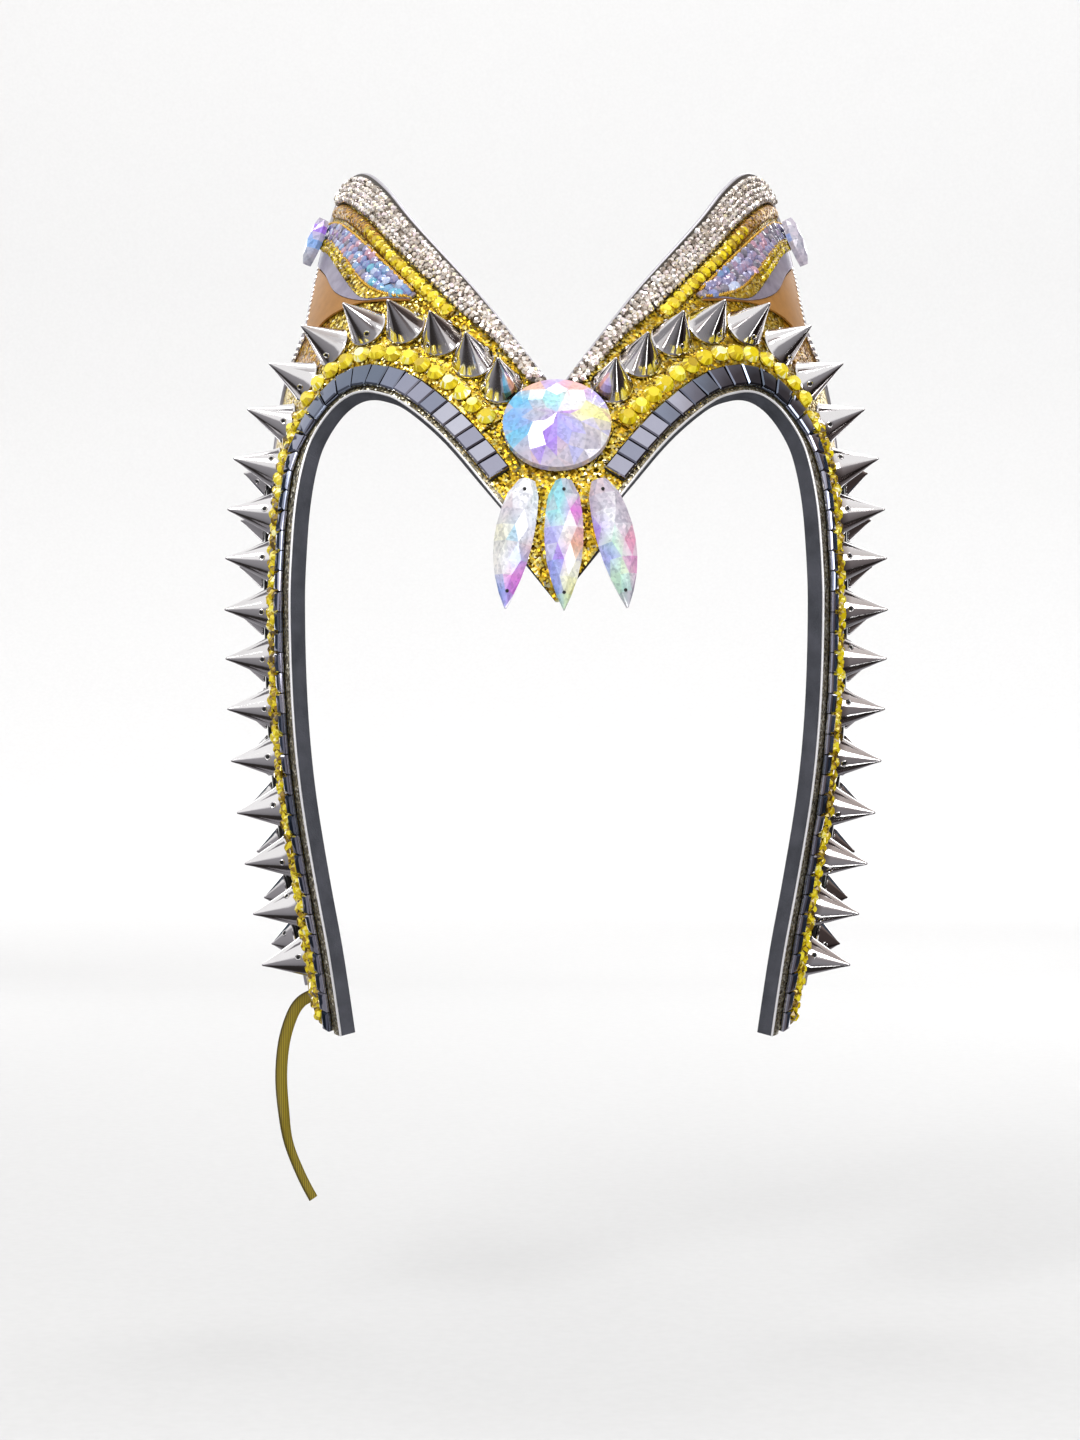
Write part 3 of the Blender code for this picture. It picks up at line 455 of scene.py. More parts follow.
def coated_stone(name, crackle):
    """Glass stone, cut, with a vapour-deposited rainbow coat over a foil back: every facet throws
    its own pastel, which runs into its neighbours', and the foil behind shows as a faint crackle of
    lighter and darker cells, a painted sparkle."""
    material, tree, shader, place = finish(
        name, Roughness=0.05, Coat_Weight=1.0, Coat_Roughness=0.02, IOR=1.6
    )
    coat = node(tree, "Attribute", {"attribute_name": "coat"}), "Color"
    foil = node(tree, "TexVoronoi", {"Scale": per_mm(crackle)}, {"Vector": place}), "Color"
    shade = node(tree, "SeparateColor", {}, {"Color": foil}), "Blue"
    silver = ((0.0, "#8f96a8"), (0.4, "#d9dce6"), (1.0, "#ffffff"))
    painted_sparkle = node(tree, "ValToRGB", {"stops": silver}, {"Fac": shade})
    mix = node(tree, "Mix", {**MULTIPLIED, 0: 0.5}, {6: coat, 7: painted_sparkle})
    node(tree, shader, {}, {"Base Color": (mix, 2)})
    return material


def satin(name, stops, thread):
    """Woven satin with painted shade: darker towards the turned edge that its faces' tint marks,
    and brightest down the middle as a painted highlight.
    """
    material, tree, shader, place = finish(
        name, Roughness=0.36, Metallic=0.15, Anisotropic=0.6, Sheen_Weight=0.1
    )
    weave = {"bands_direction": "X", "Scale": per_mm(thread) / math.pi, "Distortion": 0.4}
    threads = node(tree, "TexWave", weave, {"Vector": place}), "Fac"
    body = node(tree, "ValToRGB", {"stops": stops}, {"Fac": threads})
    tint = node(tree, "Attribute", {"attribute_name": "tint"}), "Fac"
    # Painted shade: the faces' tint darkens the satin towards its turned edge, and its back is
    # darker too
    edge_shade_stops = ((0.0, "#6d6c58"), (0.6, "#cfcdb8"), (1.0, "#ffffff"))
    edge = node(tree, "ValToRGB", {"stops": edge_shade_stops}, {"Fac": tint})
    mix = node(tree, "Mix", {**MULTIPLIED, 0: 1.0}, {6: body, 7: edge})
    bump = node(tree, "Bump", {"Strength": 0.25, "Distance": 0.05 * MM}, {"Height": threads})
    node(tree, shader, {}, {"Base Color": (mix, 2), "Normal": bump})
    return material


MULTIPLIED = {"data_type": "RGBA", "blend_type": "MULTIPLY"}
GOLD_STOPS = (
    (0.0, "#4a3406"), (0.3, "#a67f12"), (0.6, "#dcb82a"), (0.85, "#f8e370"), (1.0, "#fff8cf")
)
AMBER_STOPS = (
    (0.0, "#3a2402"), (0.3, "#774d04"), (0.6, "#ae760a"), (0.88, "#d29c14"), (1.0, "#f6d860")
)
BRONZE_STOPS = ((0.0, "#4a4335"), (0.35, "#857a60"), (0.7, "#bcb190"), (1.0, "#fffbe8"))
MIRROR_STOPS = ((0.0, "#5b6776"), (0.35, "#878da0"), (0.6, "#a5a5b7"), (1.0, "#d8d9e4"))
CITRINE_STOPS = (
    (0.0, "#4c3a02"), (0.22, "#957304"), (0.45, "#d0b505"),
    (0.72, "#f1da17"), (0.9, "#fbee4c"), (1.0, "#fffcc4"),
)
RHINESTONE_STOPS = (
    (0.0, "#5c5147"), (0.25, "#a5988b"), (0.5, "#d6cdc3"), (0.7, "#f1eae4"),
    (0.84, "#f6e2ea"), (0.93, "#f8f2c6"), (1.0, "#ffffff"),
)
CHIP_STOPS = (
    (0.0, "#eceff8"), (0.14, "#b4bfdc"), (0.28, "#7699c4"), (0.38, "#5fb0c4"), (0.50, "#7a83b8"),
    (0.62, "#8d88a8"), (0.74, "#c091a2"), (0.86, "#827e8c"), (1.0, "#5a586a"),
)
COAT_STOPS = (
    (0.00, "#f6f6fa"), (0.08, "#faf6e2"), (0.17, "#fcf596"), (0.26, "#d3eec6"), (0.34, "#a4e9e4"),
    (0.42, "#4fbce8"), (0.50, "#8aabf0"), (0.58, "#bdb4f6"), (0.66, "#9f66e2"), (0.74, "#e272da"),
    (0.82, "#f2a9c2"), (0.89, "#f5a873"), (0.94, "#cfc3d0"), (1.00, "#b2b4c0"),
)

FINISHES = {
    # The mould leaves a closed skin on the foam: flat black-brown, faintly pitted and dull
    "foam_skin": foam(
        "EVA foam, moulded skin", ((0.2, "#141413"), (0.8, "#24231f")), 0.7, 0.06, 0.75
    ),
    # A knife opens the foam's cells: its edge is paler, slate grey and rougher than the skin
    "foam_cut": foam(
        "EVA foam, knife cut", ((0.25, "#35373d"), (0.75, "#4c4d55")), 0.45, 0.12, 0.85
    ),
    # Foil flakes under film: dark gold beside near white flakes, painted sparks that add to the
    # real glints from their lean. Drawn at 0.55 mm for 0.2 mm
    "gold_film": glitter("Gold glitter film, flaked", GOLD_STOPS, 0.55, 0.8),
    # The same film in amber, drawn at 0.5 mm: browner, with fewer painted sparks and a softer face
    "amber_film": glitter("Amber glitter film, flaked", AMBER_STOPS, 0.5, 0.7, 0.5),
    # The hem's film in pale bronze, drawn at 0.45 mm: a greyed line with small white painted sparks
    "bronze_film": glitter("Bronze glitter film, flaked", BRONZE_STOPS, 0.45, 0.8),
    # Silver behind clear acrylic: each tile mirrors the room sharply, in its own slate or lavender;
    # round the arch's shoulder the tiles are tinted darker, as painted shade
    "mirror": tinted(
        "Acrylic mirror, vacuum silvered", MIRROR_STOPS, wander=0.05, Roughness=0.06, Metallic=1.0
    ),
    # Moulded acrylic with foil behind it, citrine yellow: its facets are tinted at random from
    # olive gold, painted shade, to lemon white, painted glints
    "citrine": tinted(
        "Acrylic stone, moulded and foiled, citrine", CITRINE_STOPS, wander=0.3,
        Roughness=0.08, Metallic=0.1, Coat_Weight=0.6,
    ),
    # Plating over moulded plastic: bright chrome, its reflections slightly rippled
    "spike": tinted(
        "ABS, vacuum plated, dark chrome", ((0.0, "#cfcccc"), (1.0, "#eceaeb")), 0.35, 0.2,
        Roughness=0.1, Metallic=1.0,
    ),
    # Cut glass with foil behind it: facets tinted from a painted brown shadow to painted white
    # glints, a few pink or lemon
    "rhinestone": tinted(
        "Glass rhinestone, cut and foiled", RHINESTONE_STOPS, wander=0.2,
        Roughness=0.1, Metallic=0.7,
    ),
    # Knitted metal yarn between the rhinestones: a dull ground, its own grey darkened to near black
    # as painted shade between the stones, which makes them stand out
    "net": tinted(
        "Silver mesh, knitted, darkened as painted shade", ((0.0, "#2c2825"), (1.0, "#5a534c")), 0.4, 0.6,
        Roughness=0.45, Metallic=0.6,
    ),
    # The rainbow coat gives every facet its own pastel, and the foil behind a faint painted
    # sparkle. Its crackle is drawn at 0.7 mm, for a real one of about 0.2 mm
    "coated_stone": coated_stone("Glass sew-on stone, cut and rainbow coated", 0.7),
    # The same coat on small chips: each shows one muted blue, teal, mauve or rose
    "coated_chip": tinted(
        "Glass chip, cut and rainbow coated", CHIP_STOPS, wander=0.18,
        Roughness=0.1, Metallic=0.15, Coat_Weight=0.6,
    ),
    # Foil pressed on a piped edge: a soft silver line. The face opening's edging is tinted near
    # white, partly a painted highlight, and the rim's piping greyer
    "silver_foil": tinted(
        "Silver foil edging, pressed", ((0.0, "#8f8c93"), (0.4, "#b5b2b8"), (1.0, "#f6f5f7")),
        0.8, 0.3, Roughness=0.3, Metallic=0.5,
    ),
    # Metal yarn, twisted: a row of short gold glints with brown between them
    "gold_cord": tinted(
        "Gold cord, metallised yarn, twisted",
        ((0.0, "#7a5510"), (0.5, "#c99a2e"), (1.0, "#f2d87a")), 0.3, 0.8,
        Roughness=0.35, Metallic=0.75,
    ),
    # Embossed foil: a satin lilac grey, mottled by the embossing
    "lilac_foil": tinted(
        "Lilac foil, embossed", ((0.0, "#7b7588"), (1.0, "#a9a2b4")), 0.8, 1.2,
        Roughness=0.3, Metallic=0.55,
    ),
    # Foil pressed flat under a tinted varnish: an even amber with a broad, dull shine
    "amber_foil": tinted(
        "Amber foil, pressed", ((0.0, "#8f5e18"), (1.0, "#b8813a")), 0.8, 0.7,
        Roughness=0.42, Metallic=0.2,
    ),
    # Woven polyester: matt black with a fine grain, so that it reads as a shadow line
    "tape": tinted(
        "Polyester tape, woven black", ((0.0, "#0f0f10"), (1.0, "#26262a")), 0.5, 1.0,
        Roughness=0.7,
    ),
    # A thread hole, drawn as a near black plug in the plastic or glass: painted shade, for the
    # little light that comes back out of a real hole
    "hole": tinted("Thread hole, in shadow", ((0.0, "#080808"), (1.0, "#161515")), Roughness=0.7),
    # Satin's long floats lie across the ribbon: a soft olive gold, with a painted sheen down the
    # middle and painted shade towards the turned edge. Its threads are drawn at 0.45 mm, for real
    # ones of about 0.1 mm
    "ribbon": satin(
        "Satin ribbon, woven", ((0.0, "#64540a"), (0.5, "#86740f"), (1.0, "#a3901c")), 0.45
    ),
}


# Mesh makers. A shape is a list of points and a list of faces.


def joined(*shapes):
    points, faces = [], []
    for more, polygons in shapes:
        faces += [[i + len(points) for i in face] for face in polygons]
        points += [tuple(p) for p in more]
    return points, faces


def copies(shape, places):
    base = np.array(shape[0], float)
    points, faces = [], []
    for k, place in enumerate(places):
        turned, shift = np.array(place.to_3x3()), np.array(place.translation)
        points += (base @ turned.T + shift).tolist()
        faces += [[i + k * len(base) for i in face] for face in shape[1]]
    return points, faces


def mirrored(shape, side):
    return [(side * p[0], p[1], p[2]) for p in shape[0]], shape[1]


def slab(columns, low, highs):
    """A closed body over the hood, from columns of spots. highs holds a lift for each column."""
    wide, long = len(columns), len(columns[0])
    points = [shell_point(spot, low) for column in columns for spot in column]
    points += [shell_point(s, high) for column, high in zip(columns, highs) for s in column]

    def at(layer, column, row):
        return layer * wide * long + column * long + row

    faces = []
    for c in range(wide - 1):
        for s in range(long - 1):
            quad = ((c, s), (c, s + 1), (c + 1, s + 1), (c + 1, s))
            faces.append([at(1, *q) for q in quad])
            faces.append([at(0, *q) for q in reversed(quad)])
    rim = [(0, s) for s in range(long)] + [(c, long - 1) for c in range(1, wide)]
    rim += [(wide - 1, s) for s in range(long - 2, -1, -1)]
    rim += [(c, 0) for c in range(wide - 2, 0, -1)]
    for a, b in zip(rim, rim[1:] + rim[:1]):
        faces.append([at(0, *a), at(0, *b), at(1, *b), at(1, *a)])
    return points, faces


def loft(rings):
    """A body through rings of points, with flat ends."""
    count = len(rings[0])
    points = [p for ring in rings for p in ring]
    faces = [list(range(count)), [(len(rings) - 1) * count + k for k in range(count)]]
    for r in range(len(rings) - 1):
        for k in range(count):
            a, b = r * count + k, r * count + (k + 1) % count
            faces.append([a, b, b + count, a + count])
    return points, faces


def heading(line, k):
    return (line[min(k + 1, len(line) - 1)] - line[max(k - 1, 0)]).normalized()


def eased(value, start, span):
    """A soft step from 0 to 1."""
    share = min(1.0, max(0.0, (value - start) / span))
    return share * share * (3 - 2 * share)


def tube(line, radius, sides):
    """A round tube along a line."""
    rings = []
    across = heading(line, 0).orthogonal()
    turns = [(math.cos(TAU * i / sides), math.sin(TAU * i / sides)) for i in range(sides)]
    for k, point in enumerate(line):
        ahead = heading(line, k)
        across = (across - across.dot(ahead) * ahead).normalized()
        aside = ahead.cross(across)
        rings.append([point + radius * (x * across + y * aside) for x, y in turns])
    return loft(rings)


def twisted_cord(line, normals, radius, lay):
    """Two plies laid round each other along a line. lay is the length of one turn."""
    plies = []
    for start in (0.0, math.pi):
        travelled, ply = 0.0, []
        for k, point in enumerate(line):
            travelled += (point - line[max(k - 1, 0)]).length
            aside = normals[k].cross(heading(line, k)).normalized()
            angle = start + TAU * travelled / lay
            turned = math.cos(angle) * normals[k] + math.sin(angle) * aside
            ply.append(point + radius / 2 * turned)
        plies.append(tube(ply, radius * 0.55, 6))
    return joined(*plies)


def lathe(profile, sides):
    """A turned body on the z axis, from rows of radius and height."""
    turns = [(math.cos(TAU * k / sides), math.sin(TAU * k / sides)) for k in range(sides)]
    return loft([[(r * x, r * y, z) for x, y in turns] for r, z in profile])


def faceted(outline, cut):
    """A stone from an outline of flat points. cut holds a scale, a height and a turn per ring."""
    count = len(outline)
    points = []
    for scale, height, turned in cut:
        for a, b in zip(outline, outline[1:] + outline[:1]):
            x, y = scale * (a + (b - a) * turned)
            points.append((x, y, height))
    faces = [list(range(count)), [(len(cut) - 1) * count + k for k in range(count)]]
    for r in range(len(cut) - 1):
        for k in range(count):
            a, b = r * count + k, r * count + (k + 1) % count
            c, d = b + count, a + count
            faces += [[a, b, c, d]] if cut[r][2] == cut[r + 1][2] else [[a, b, d], [b, c, d]]
    return points, faces


def disc(diameter, count):
    turns = [TAU * k / count for k in range(count)]
    return [Vector((math.cos(turn), math.sin(turn))) * diameter / 2 for turn in turns]


def round_stone_shape(diameter, height, facets):
    """A flat-backed round stone with a table, its back on the origin."""
    cut = ((0.9, 0.0, 0.0), (1.0, 0.2, 0.0), (1.0, 0.32, 0.0), (0.6, 1.0, 0.5))
    return faceted(disc(diameter * MM, facets), [(s, h * height * MM, t) for s, h, t in cut])


def put(name, data):
    """Puts a mesh, lamp or camera in the scene."""
    holder = bpy.data.objects.new(name, data)
    bpy.context.collection.objects.link(holder)
    return holder


def add_piece(
    name, shape, finishes, slot, tints=0.5, coat=None, picks=None, smoothed=None, replaces=()
):
    """A piece of the dress. Its tint is one number or one for each face, its coat one colour for
    each corner, and smoothed is the angle, in degrees, from which an edge stays sharp."""
    data = bpy.data.meshes.new(name)
    data.from_pydata([tuple(p) for p in shape[0]], [], shape[1])
    for key in finishes.split():
        data.materials.append(FINISHES[key])
    if picks:
        data.polygons.foreach_set("material_index", picks)
    if isinstance(tints, float):
        tints = [tints] * len(shape[1])
    data.attributes.new("tint", "FLOAT", "FACE").data.foreach_set("value", tints)
    if coat:
        film = data.attributes.new("coat", "FLOAT_COLOR", "CORNER")
        film.data.foreach_set("color", [part for corner in coat for part in corner])
    mesh = bmesh.new()
    mesh.from_mesh(data)
    bmesh.ops.recalc_face_normals(mesh, faces=mesh.faces)
    mesh.to_mesh(data)
    mesh.free()
    if smoothed:
        data.shade_smooth()
        data.set_sharp_from_angle(angle=math.radians(smoothed))
    piece = put(name, data)
    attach(piece, BODY)
    if replaces:
        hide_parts(*replaces)
    return piece


def add_half(name, hand, shape, finishes, slot, replaces="", **looks):
    """A piece on one side of the hood, from a shape drawn on its right."""
    solids = [f"{replaces}_{hand}"] if replaces else []
    half = mirrored(shape, SIDES[hand])
    add_piece(f"{name}_{hand}", half, finishes, slot, replaces=solids, **looks)


def add_layer(name, hand, columns, heights, finishes, slot, **looks):
    """A glued layer on one side. Each column has its height over the glue, in millimetres."""
    shape = slab(columns, GLUE_GAP, [GLUE_GAP + height * MM for height in heights])
    add_half(name, hand, shape, finishes, slot, smoothed=60, **looks)


def add_stones(name, hand, size, places, finish_name, slot, rng, low, high, spread=0.3):
    """A row of small stones: each has its own tint, and its facets spread about it."""
    stone, tints = round_stone_shape(*size), []
    for _ in places:
        own = rng.uniform(low, high)
        tints += [own + rng.uniform(-spread, spread) for _ in stone[1]]
    add_piece(f"{name}_{hand}", copies(stone, places), finish_name, slot, tints=tints)


# Camera, light and floor

CAMERA_PLACE = (-0.0039, -0.7034, -0.0662)
CAMERA_LENS = 75.6  # on a sensor 36 mm across
LIT_POINT = (0, 0, -0.04)
FLOOR_HEIGHT = -0.215
COVE_RADIUS, COVE_BEND, COVE_TOP = 2.4, 0.6, 3.0
# Name, width and height, watts, place, and the point that it faces
LIGHTS = (
    ("key_softbox", (0.5, 0.4), 7.0, (-0.45, -0.85, 0.80), LIT_POINT),
    ("fill_softbox", (0.4, 0.5), 3.0, (0.75, -0.75, 0.25), LIT_POINT),
    ("top_softbox", (0.6, 0.4), 3.0, (0.0, 0.3, 1.0), LIT_POINT),
    ("rear_softbox", (0.5, 0.7), 2.0, (0.3, 1.1, 0.5), LIT_POINT),
    ("backdrop_softbox", (2.0, 0.6), 13.5, (0.0, 0.9, 1.3), (0.0, 2.4, 0.5)),
    ("low_strip", (0.08, 0.30), 0.35, (0.42, -0.30, -0.85), LIT_POINT),
    ("side_softbox_-1", (0.16, 0.8), 0.7, (-0.50, 0.95, 0.05), LIT_POINT),
    ("side_softbox_1", (0.16, 0.8), 0.7, (0.50, 0.95, 0.05), LIT_POINT),
)
# The floor from its middle outwards, so that the cove shows no line where it bends
FLOOR_STOPS = (
    (0.0, "#dedede"), (0.42, "#dedede"), (0.62, "#f4f4f4"), (0.74, "#ffffff"), (1.0, "#f4f4f4")
)
# The room from its floor to its ceiling: dark carpet, grey walls and a white ceiling
ROOM_STOPS = (
    (0.0, "#242120"), (0.245, "#332f2e"), (0.275, "#605d60"), (0.31, "#7d7b7f"),
    (0.46, "#8f8d91"), (0.69, "#9b999d"), (0.735, "#e6e5e7"), (0.775, "#ffffff"), (1.0, "#ffffff"),
)
ROOM_TILT, ROOM_SPAN, ROOM_STRENGTH = 0.6, 1.17, 1.1
# The room's right end is darker, so that parts that face it read as dark chrome
ROOM_END_STOPS = (
    (0.0, "#ffffff"), (0.68, "#ffffff"), (0.78, "#c9beb9"), (0.88, "#7a6c66"), (1.0, "#7a6c66")
)
FLAG_FRONT, FLAG_BACK = (1.00, 0.56), (0.66, 0.92)  # how far aside and how far back
FLAG_LOW, FLAG_HIGH = -0.45, 0.40


def make_camera():
    lens = bpy.data.cameras.new("studio_camera")
    lens.lens, lens.sensor_width = CAMERA_LENS, 36.0
    lens.clip_start, lens.clip_end = 0.02, 50.0
    camera = put("studio_camera", lens)
    camera.location = CAMERA_PLACE
    camera.rotation_euler = (math.pi / 2, 0, 0)
    bpy.context.scene.camera = camera


def make_lights():
    for name, size, watts, place, aim in LIGHTS:
        lamp = bpy.data.lights.new(name, "AREA")
        lamp.shape = "RECTANGLE"
        lamp.size, lamp.size_y = size
        lamp.energy = watts
        holder = put(name, lamp)
        holder.location = place
        holder.rotation_euler = (Vector(aim) - Vector(place)).to_track_quat("-Z", "Y").to_euler()


def make_cove():
    """A round pale cove with a floor."""
    profile = [(r, FLOOR_HEIGHT) for r in (1.2, 1.5, COVE_RADIUS - COVE_BEND)]
    for k in range(1, 9):
        angle = math.pi / 2 * k / 8
        out = COVE_RADIUS - COVE_BEND + COVE_BEND * math.sin(angle)
        profile.append((out, FLOOR_HEIGHT + COVE_BEND * (1 - math.cos(angle))))
    points, faces = lathe(profile + [(COVE_RADIUS, COVE_TOP)], 96)
    data = bpy.data.meshes.new("studio_cove")
    data.from_pydata(points, [], [faces[0][::-1]] + faces[2:])
    data.shade_smooth()
    # Rolled matt paint: an even pale ground with no shine, its stipple too faint to draw the eye
    material, tree, shader, place = finish("Matt paint, rolled, pale grey", Roughness=0.9)
    stipple = node(tree, "TexNoise", {"Scale": per_mm(3.0), "Detail": 2.0}, {"Vector": place})
    speckle = ((0.3, "#e9e9e9"), (0.7, "#ececec"))
    shade = node(tree, "ValToRGB", {"stops": speckle}, {"Fac": stipple})
    flat = (1 / COVE_RADIUS, 1 / COVE_RADIUS, 0.0)
    flat = node(tree, "VectorMath", {"operation": "MULTIPLY", 1: flat}, {0: place})
    out = node(tree, "VectorMath", {"operation": "LENGTH"}, {0: flat}), "Value"
    ground = node(tree, "ValToRGB", {"stops": FLOOR_STOPS}, {"Fac": out})
    even = node(tree, "Mix", {**MULTIPLIED, 0: 1.0}, {6: shade, 7: ground})
    node(tree, shader, {}, {"Base Color": (even, 2)})
    data.materials.append(material)
    cove = put("studio_cove", data)
    cove.visible_glossy = cove.visible_shadow = False


def make_room():
    """A grey room with a pale ceiling, for the bright parts to reflect."""
    world = bpy.data.worlds.new("studio_room")
    bpy.context.scene.world = world
    world.use_nodes = True
    tree = world.node_tree
    direction = node(tree, "TexCoord"), "Generated"
    axes = node(tree, "SeparateXYZ", {}, {"Vector": direction})
    out = node(tree, "Math", {"operation": "ABSOLUTE"}, {0: (axes, "Y")})
    tilted = {"operation": "MULTIPLY_ADD", 1: ROOM_TILT}
    height = node(tree, "Math", tilted, {0: out, 2: (axes, "Z")})
    span = {"From Min": -ROOM_SPAN, "From Max": ROOM_SPAN}
    share = node(tree, "MapRange", span, {"Value": height})
    room = node(tree, "ValToRGB", {"stops": ROOM_STOPS}, {"Fac": share})
    across = node(tree, "MapRange", {"From Min": -1.0, "From Max": 1.0}, {"Value": (axes, "X")})
    shade = node(tree, "ValToRGB", {"stops": ROOM_END_STOPS}, {"Fac": across})
    lit = node(tree, "Mix", {**MULTIPLIED, 0: 1.0}, {6: room, 7: shade})
    node(tree, tree.nodes["Background"], {"Strength": ROOM_STRENGTH}, {"Color": (lit, 2)})


def make_flags():
    """Felt flags beside the hood, which only its bright parts reflect."""
    # Pressed wool: a dull slate that shows only as a darker band in the chrome
    felt, tree, shader, place = finish("Wool felt, pressed, slate", Roughness=1.0)
    fibres = node(tree, "TexNoise", {"Scale": per_mm(2.0), "Detail": 3.0}, {"Vector": place})
    cloth = node(tree, "ValToRGB", {"stops": ((0.3, "#333d49"), (0.7, "#3f4a57"))}, {"Fac": fibres})
    node(tree, shader, {}, {"Base Color": cloth})
    for side in SIDES.values():
        corners = [
            (side * out, back, height)
            for (out, back), height in (
                (FLAG_FRONT, FLAG_LOW), (FLAG_BACK, FLAG_LOW),
                (FLAG_BACK, FLAG_HIGH), (FLAG_FRONT, FLAG_HIGH),
            )
        ]
        data = bpy.data.meshes.new(f"studio_flag_{side}")
        data.from_pydata(corners, [], [(0, 1, 2, 3)])
        data.materials.append(felt)
        flag = put(f"studio_flag_{side}", data)
        flag.visible_camera = flag.visible_diffuse = flag.visible_shadow = False


# Pieces


def make_tie():
    """The satin tie: bowed across, and turning edge-on as it hangs."""
    thickness, bow, selvedge = 0.32 * MM, 0.3 * MM, 0.16 * MM
    front, front_share, back, back_share = OUTLINE[-1]
    along = (abs(TIE_TURN) - front) / (back - front)
    hem = (TIE_TURN, level(front_share + (back_share - front_share) * along))
    sewn = shell_point(hem, -FOAM_THICKNESS / 2) - Vector((0, 0, GLUE_GAP + TIE_WIDTH / 2))
    line = curve_through((sewn, *TIE_ROUTE))
    rings = []
    for k, point in enumerate(line):
        ahead = heading(line, k)
        turned = math.radians(6 + 50 * eased(k / len(line), 0.45, 0.35))
        face = Vector((math.sin(turned), -math.cos(turned), 0))
        face = (face - face.dot(ahead) * ahead).normalized()
        aside = ahead.cross(face)
        top = []
        for share in (-1.0, -0.75, -0.5, -0.25, 0.0, 0.25, 0.5, 0.75, 1.0):
            lift = thickness / 2 + bow * (1 - share * share) + selvedge * (abs(share) == 1)
            top.append(point + aside * (share * TIE_WIDTH / 2) + face * lift)
        rings.append(top + [p - face * thickness for p in reversed(top)])
    # The faces' tints across the ribbon: a painted highlight down the middle of its face, painted
    # shade towards the turned edge, and the back and far side evenly darker
    across = [0.75, 0.9, 1.0, 1.0, 0.95, 0.9, 0.7, 0.2, 0.3] + [0.45] * 9
    tie = add_piece(
        "tie_ribbon_satin", loft(rings), "ribbon", "satin_ribbon",
        tints=[0.5] * 2 + across * (len(rings) - 1), smoothed=50, replaces=["tie_ribbon"],
    )
    length = sum((b - a).length for a, b in zip(line, line[1:]))
    tuple(line[0])
    [tuple(p) for p in line]


def make_hood():
    """The foam hood, with rounded cut edges, and film on its outer face."""
    columns, corner, middle = 26, 0.35 * MM, FOAM_THICKNESS / 2
    rows = [(1, a, b) for a, b in zip(EDGE.spots, RIM.spots)]
    rows = [(-1, a, b) for _, a, b in reversed(rows[1:])] + rows
    rings = []
    for side, inner, outer in rows:
        inner, outer = Vector((side * inner.x, inner.y)), Vector((side * outer.x, outer.y))
        step = corner / (shell_point(inner) - shell_point(outer)).length
        cut = [(0.0, middle), (0.0, corner), (0.3 * step, 0.3 * corner), (step, 0.0)]
        top = cut + [(k / columns, 0.0) for k in range(1, columns)]
        top += [(1 - share, depth) for share, depth in reversed(cut)]
        low = [(share, FOAM_THICKNESS - depth) for share, depth in reversed(top[1:-1])]
        rings.append([shell_point(inner.lerp(outer, share), -depth) for share, depth in top + low])
    points, faces = loft(rings)
    faces, picks = faces[2:], []
    count = len(rings[0])
    half = count // 2
    for _, inner, outer in rows[:-1]:
        for k in range(count):
            film, skin = 2 < k < half - 3, half + 2 < k < count - 3
            turn, height = inner.lerp(outer, min(max((k - 3) / columns, 0.0), 1.0))
            amber = turn > 47 and level(0.25) < height < level(0.55)
            picks.append(3 if film and amber else 1 if film else 2 if skin else 0)
    for base in (0, (len(rings) - 1) * count):
        for k in range(half):
            quad = (k, k + 1, (count - k - 1) % count, (count - k) % count)
            faces.append([base + i for i in dict.fromkeys(quad)])
            picks.append(0)
    add_piece("foam_hood", (points, faces), "foam_cut gold_film foam_skin amber_film", "foam",
              picks=picks, smoothed=40, replaces=["base_shell"])


def trimmed(mark, path):
    """How much narrower the tiles are down the sides, where the hem is wider."""
    return SIDE_HEM * eased(mark / path.length, 0.36, 0.08)


def make_edge_trims(hand):
    """The silver edging and the bronze hem round the face opening, and the piping on the rim."""
    low, high, wide = 0.15 * MM, HEM_WIDTH - 0.05 * MM, 3
    marks = stations(0.0, EDGE.length, 1.2 * MM)
    columns = [
        [EDGE.across(m, low + (high + 1.2 * trimmed(m, EDGE) - low) * c / wide) for m in marks]
        for c in range(wide + 1)
    ]
    hem = slab(columns, 0.02 * MM, [height * MM for height in (0.18, 0.28, 0.28, 0.18)])
    add_half("hem_glitter", hand, hem, "bronze_film", "gold_glitter", smoothed=60)
    edging = [shell_point(EDGE.across(m, 0.1 * MM), 0.05 * MM) for m in marks]
    piping = [shell_point(RIM.spot(m), 0.1 * MM) for m in stations(0.0, RIM.length, 1.5 * MM)]
    # Name, line, radius in millimetres, sides and tint. The edging's near white tint is partly a
    # painted highlight, the piping's greyer
    foils = (("edge_foil", edging, 0.3, 8, 1.0), ("rim_foil", piping, 0.75, 10, 0.25))
    for name, line, radius, sides, tint in foils:
        foil = tube(line, radius * MM, sides)
        add_half(name, hand, foil, "silver_foil", "mirror_tile", tints=tint, smoothed=60)


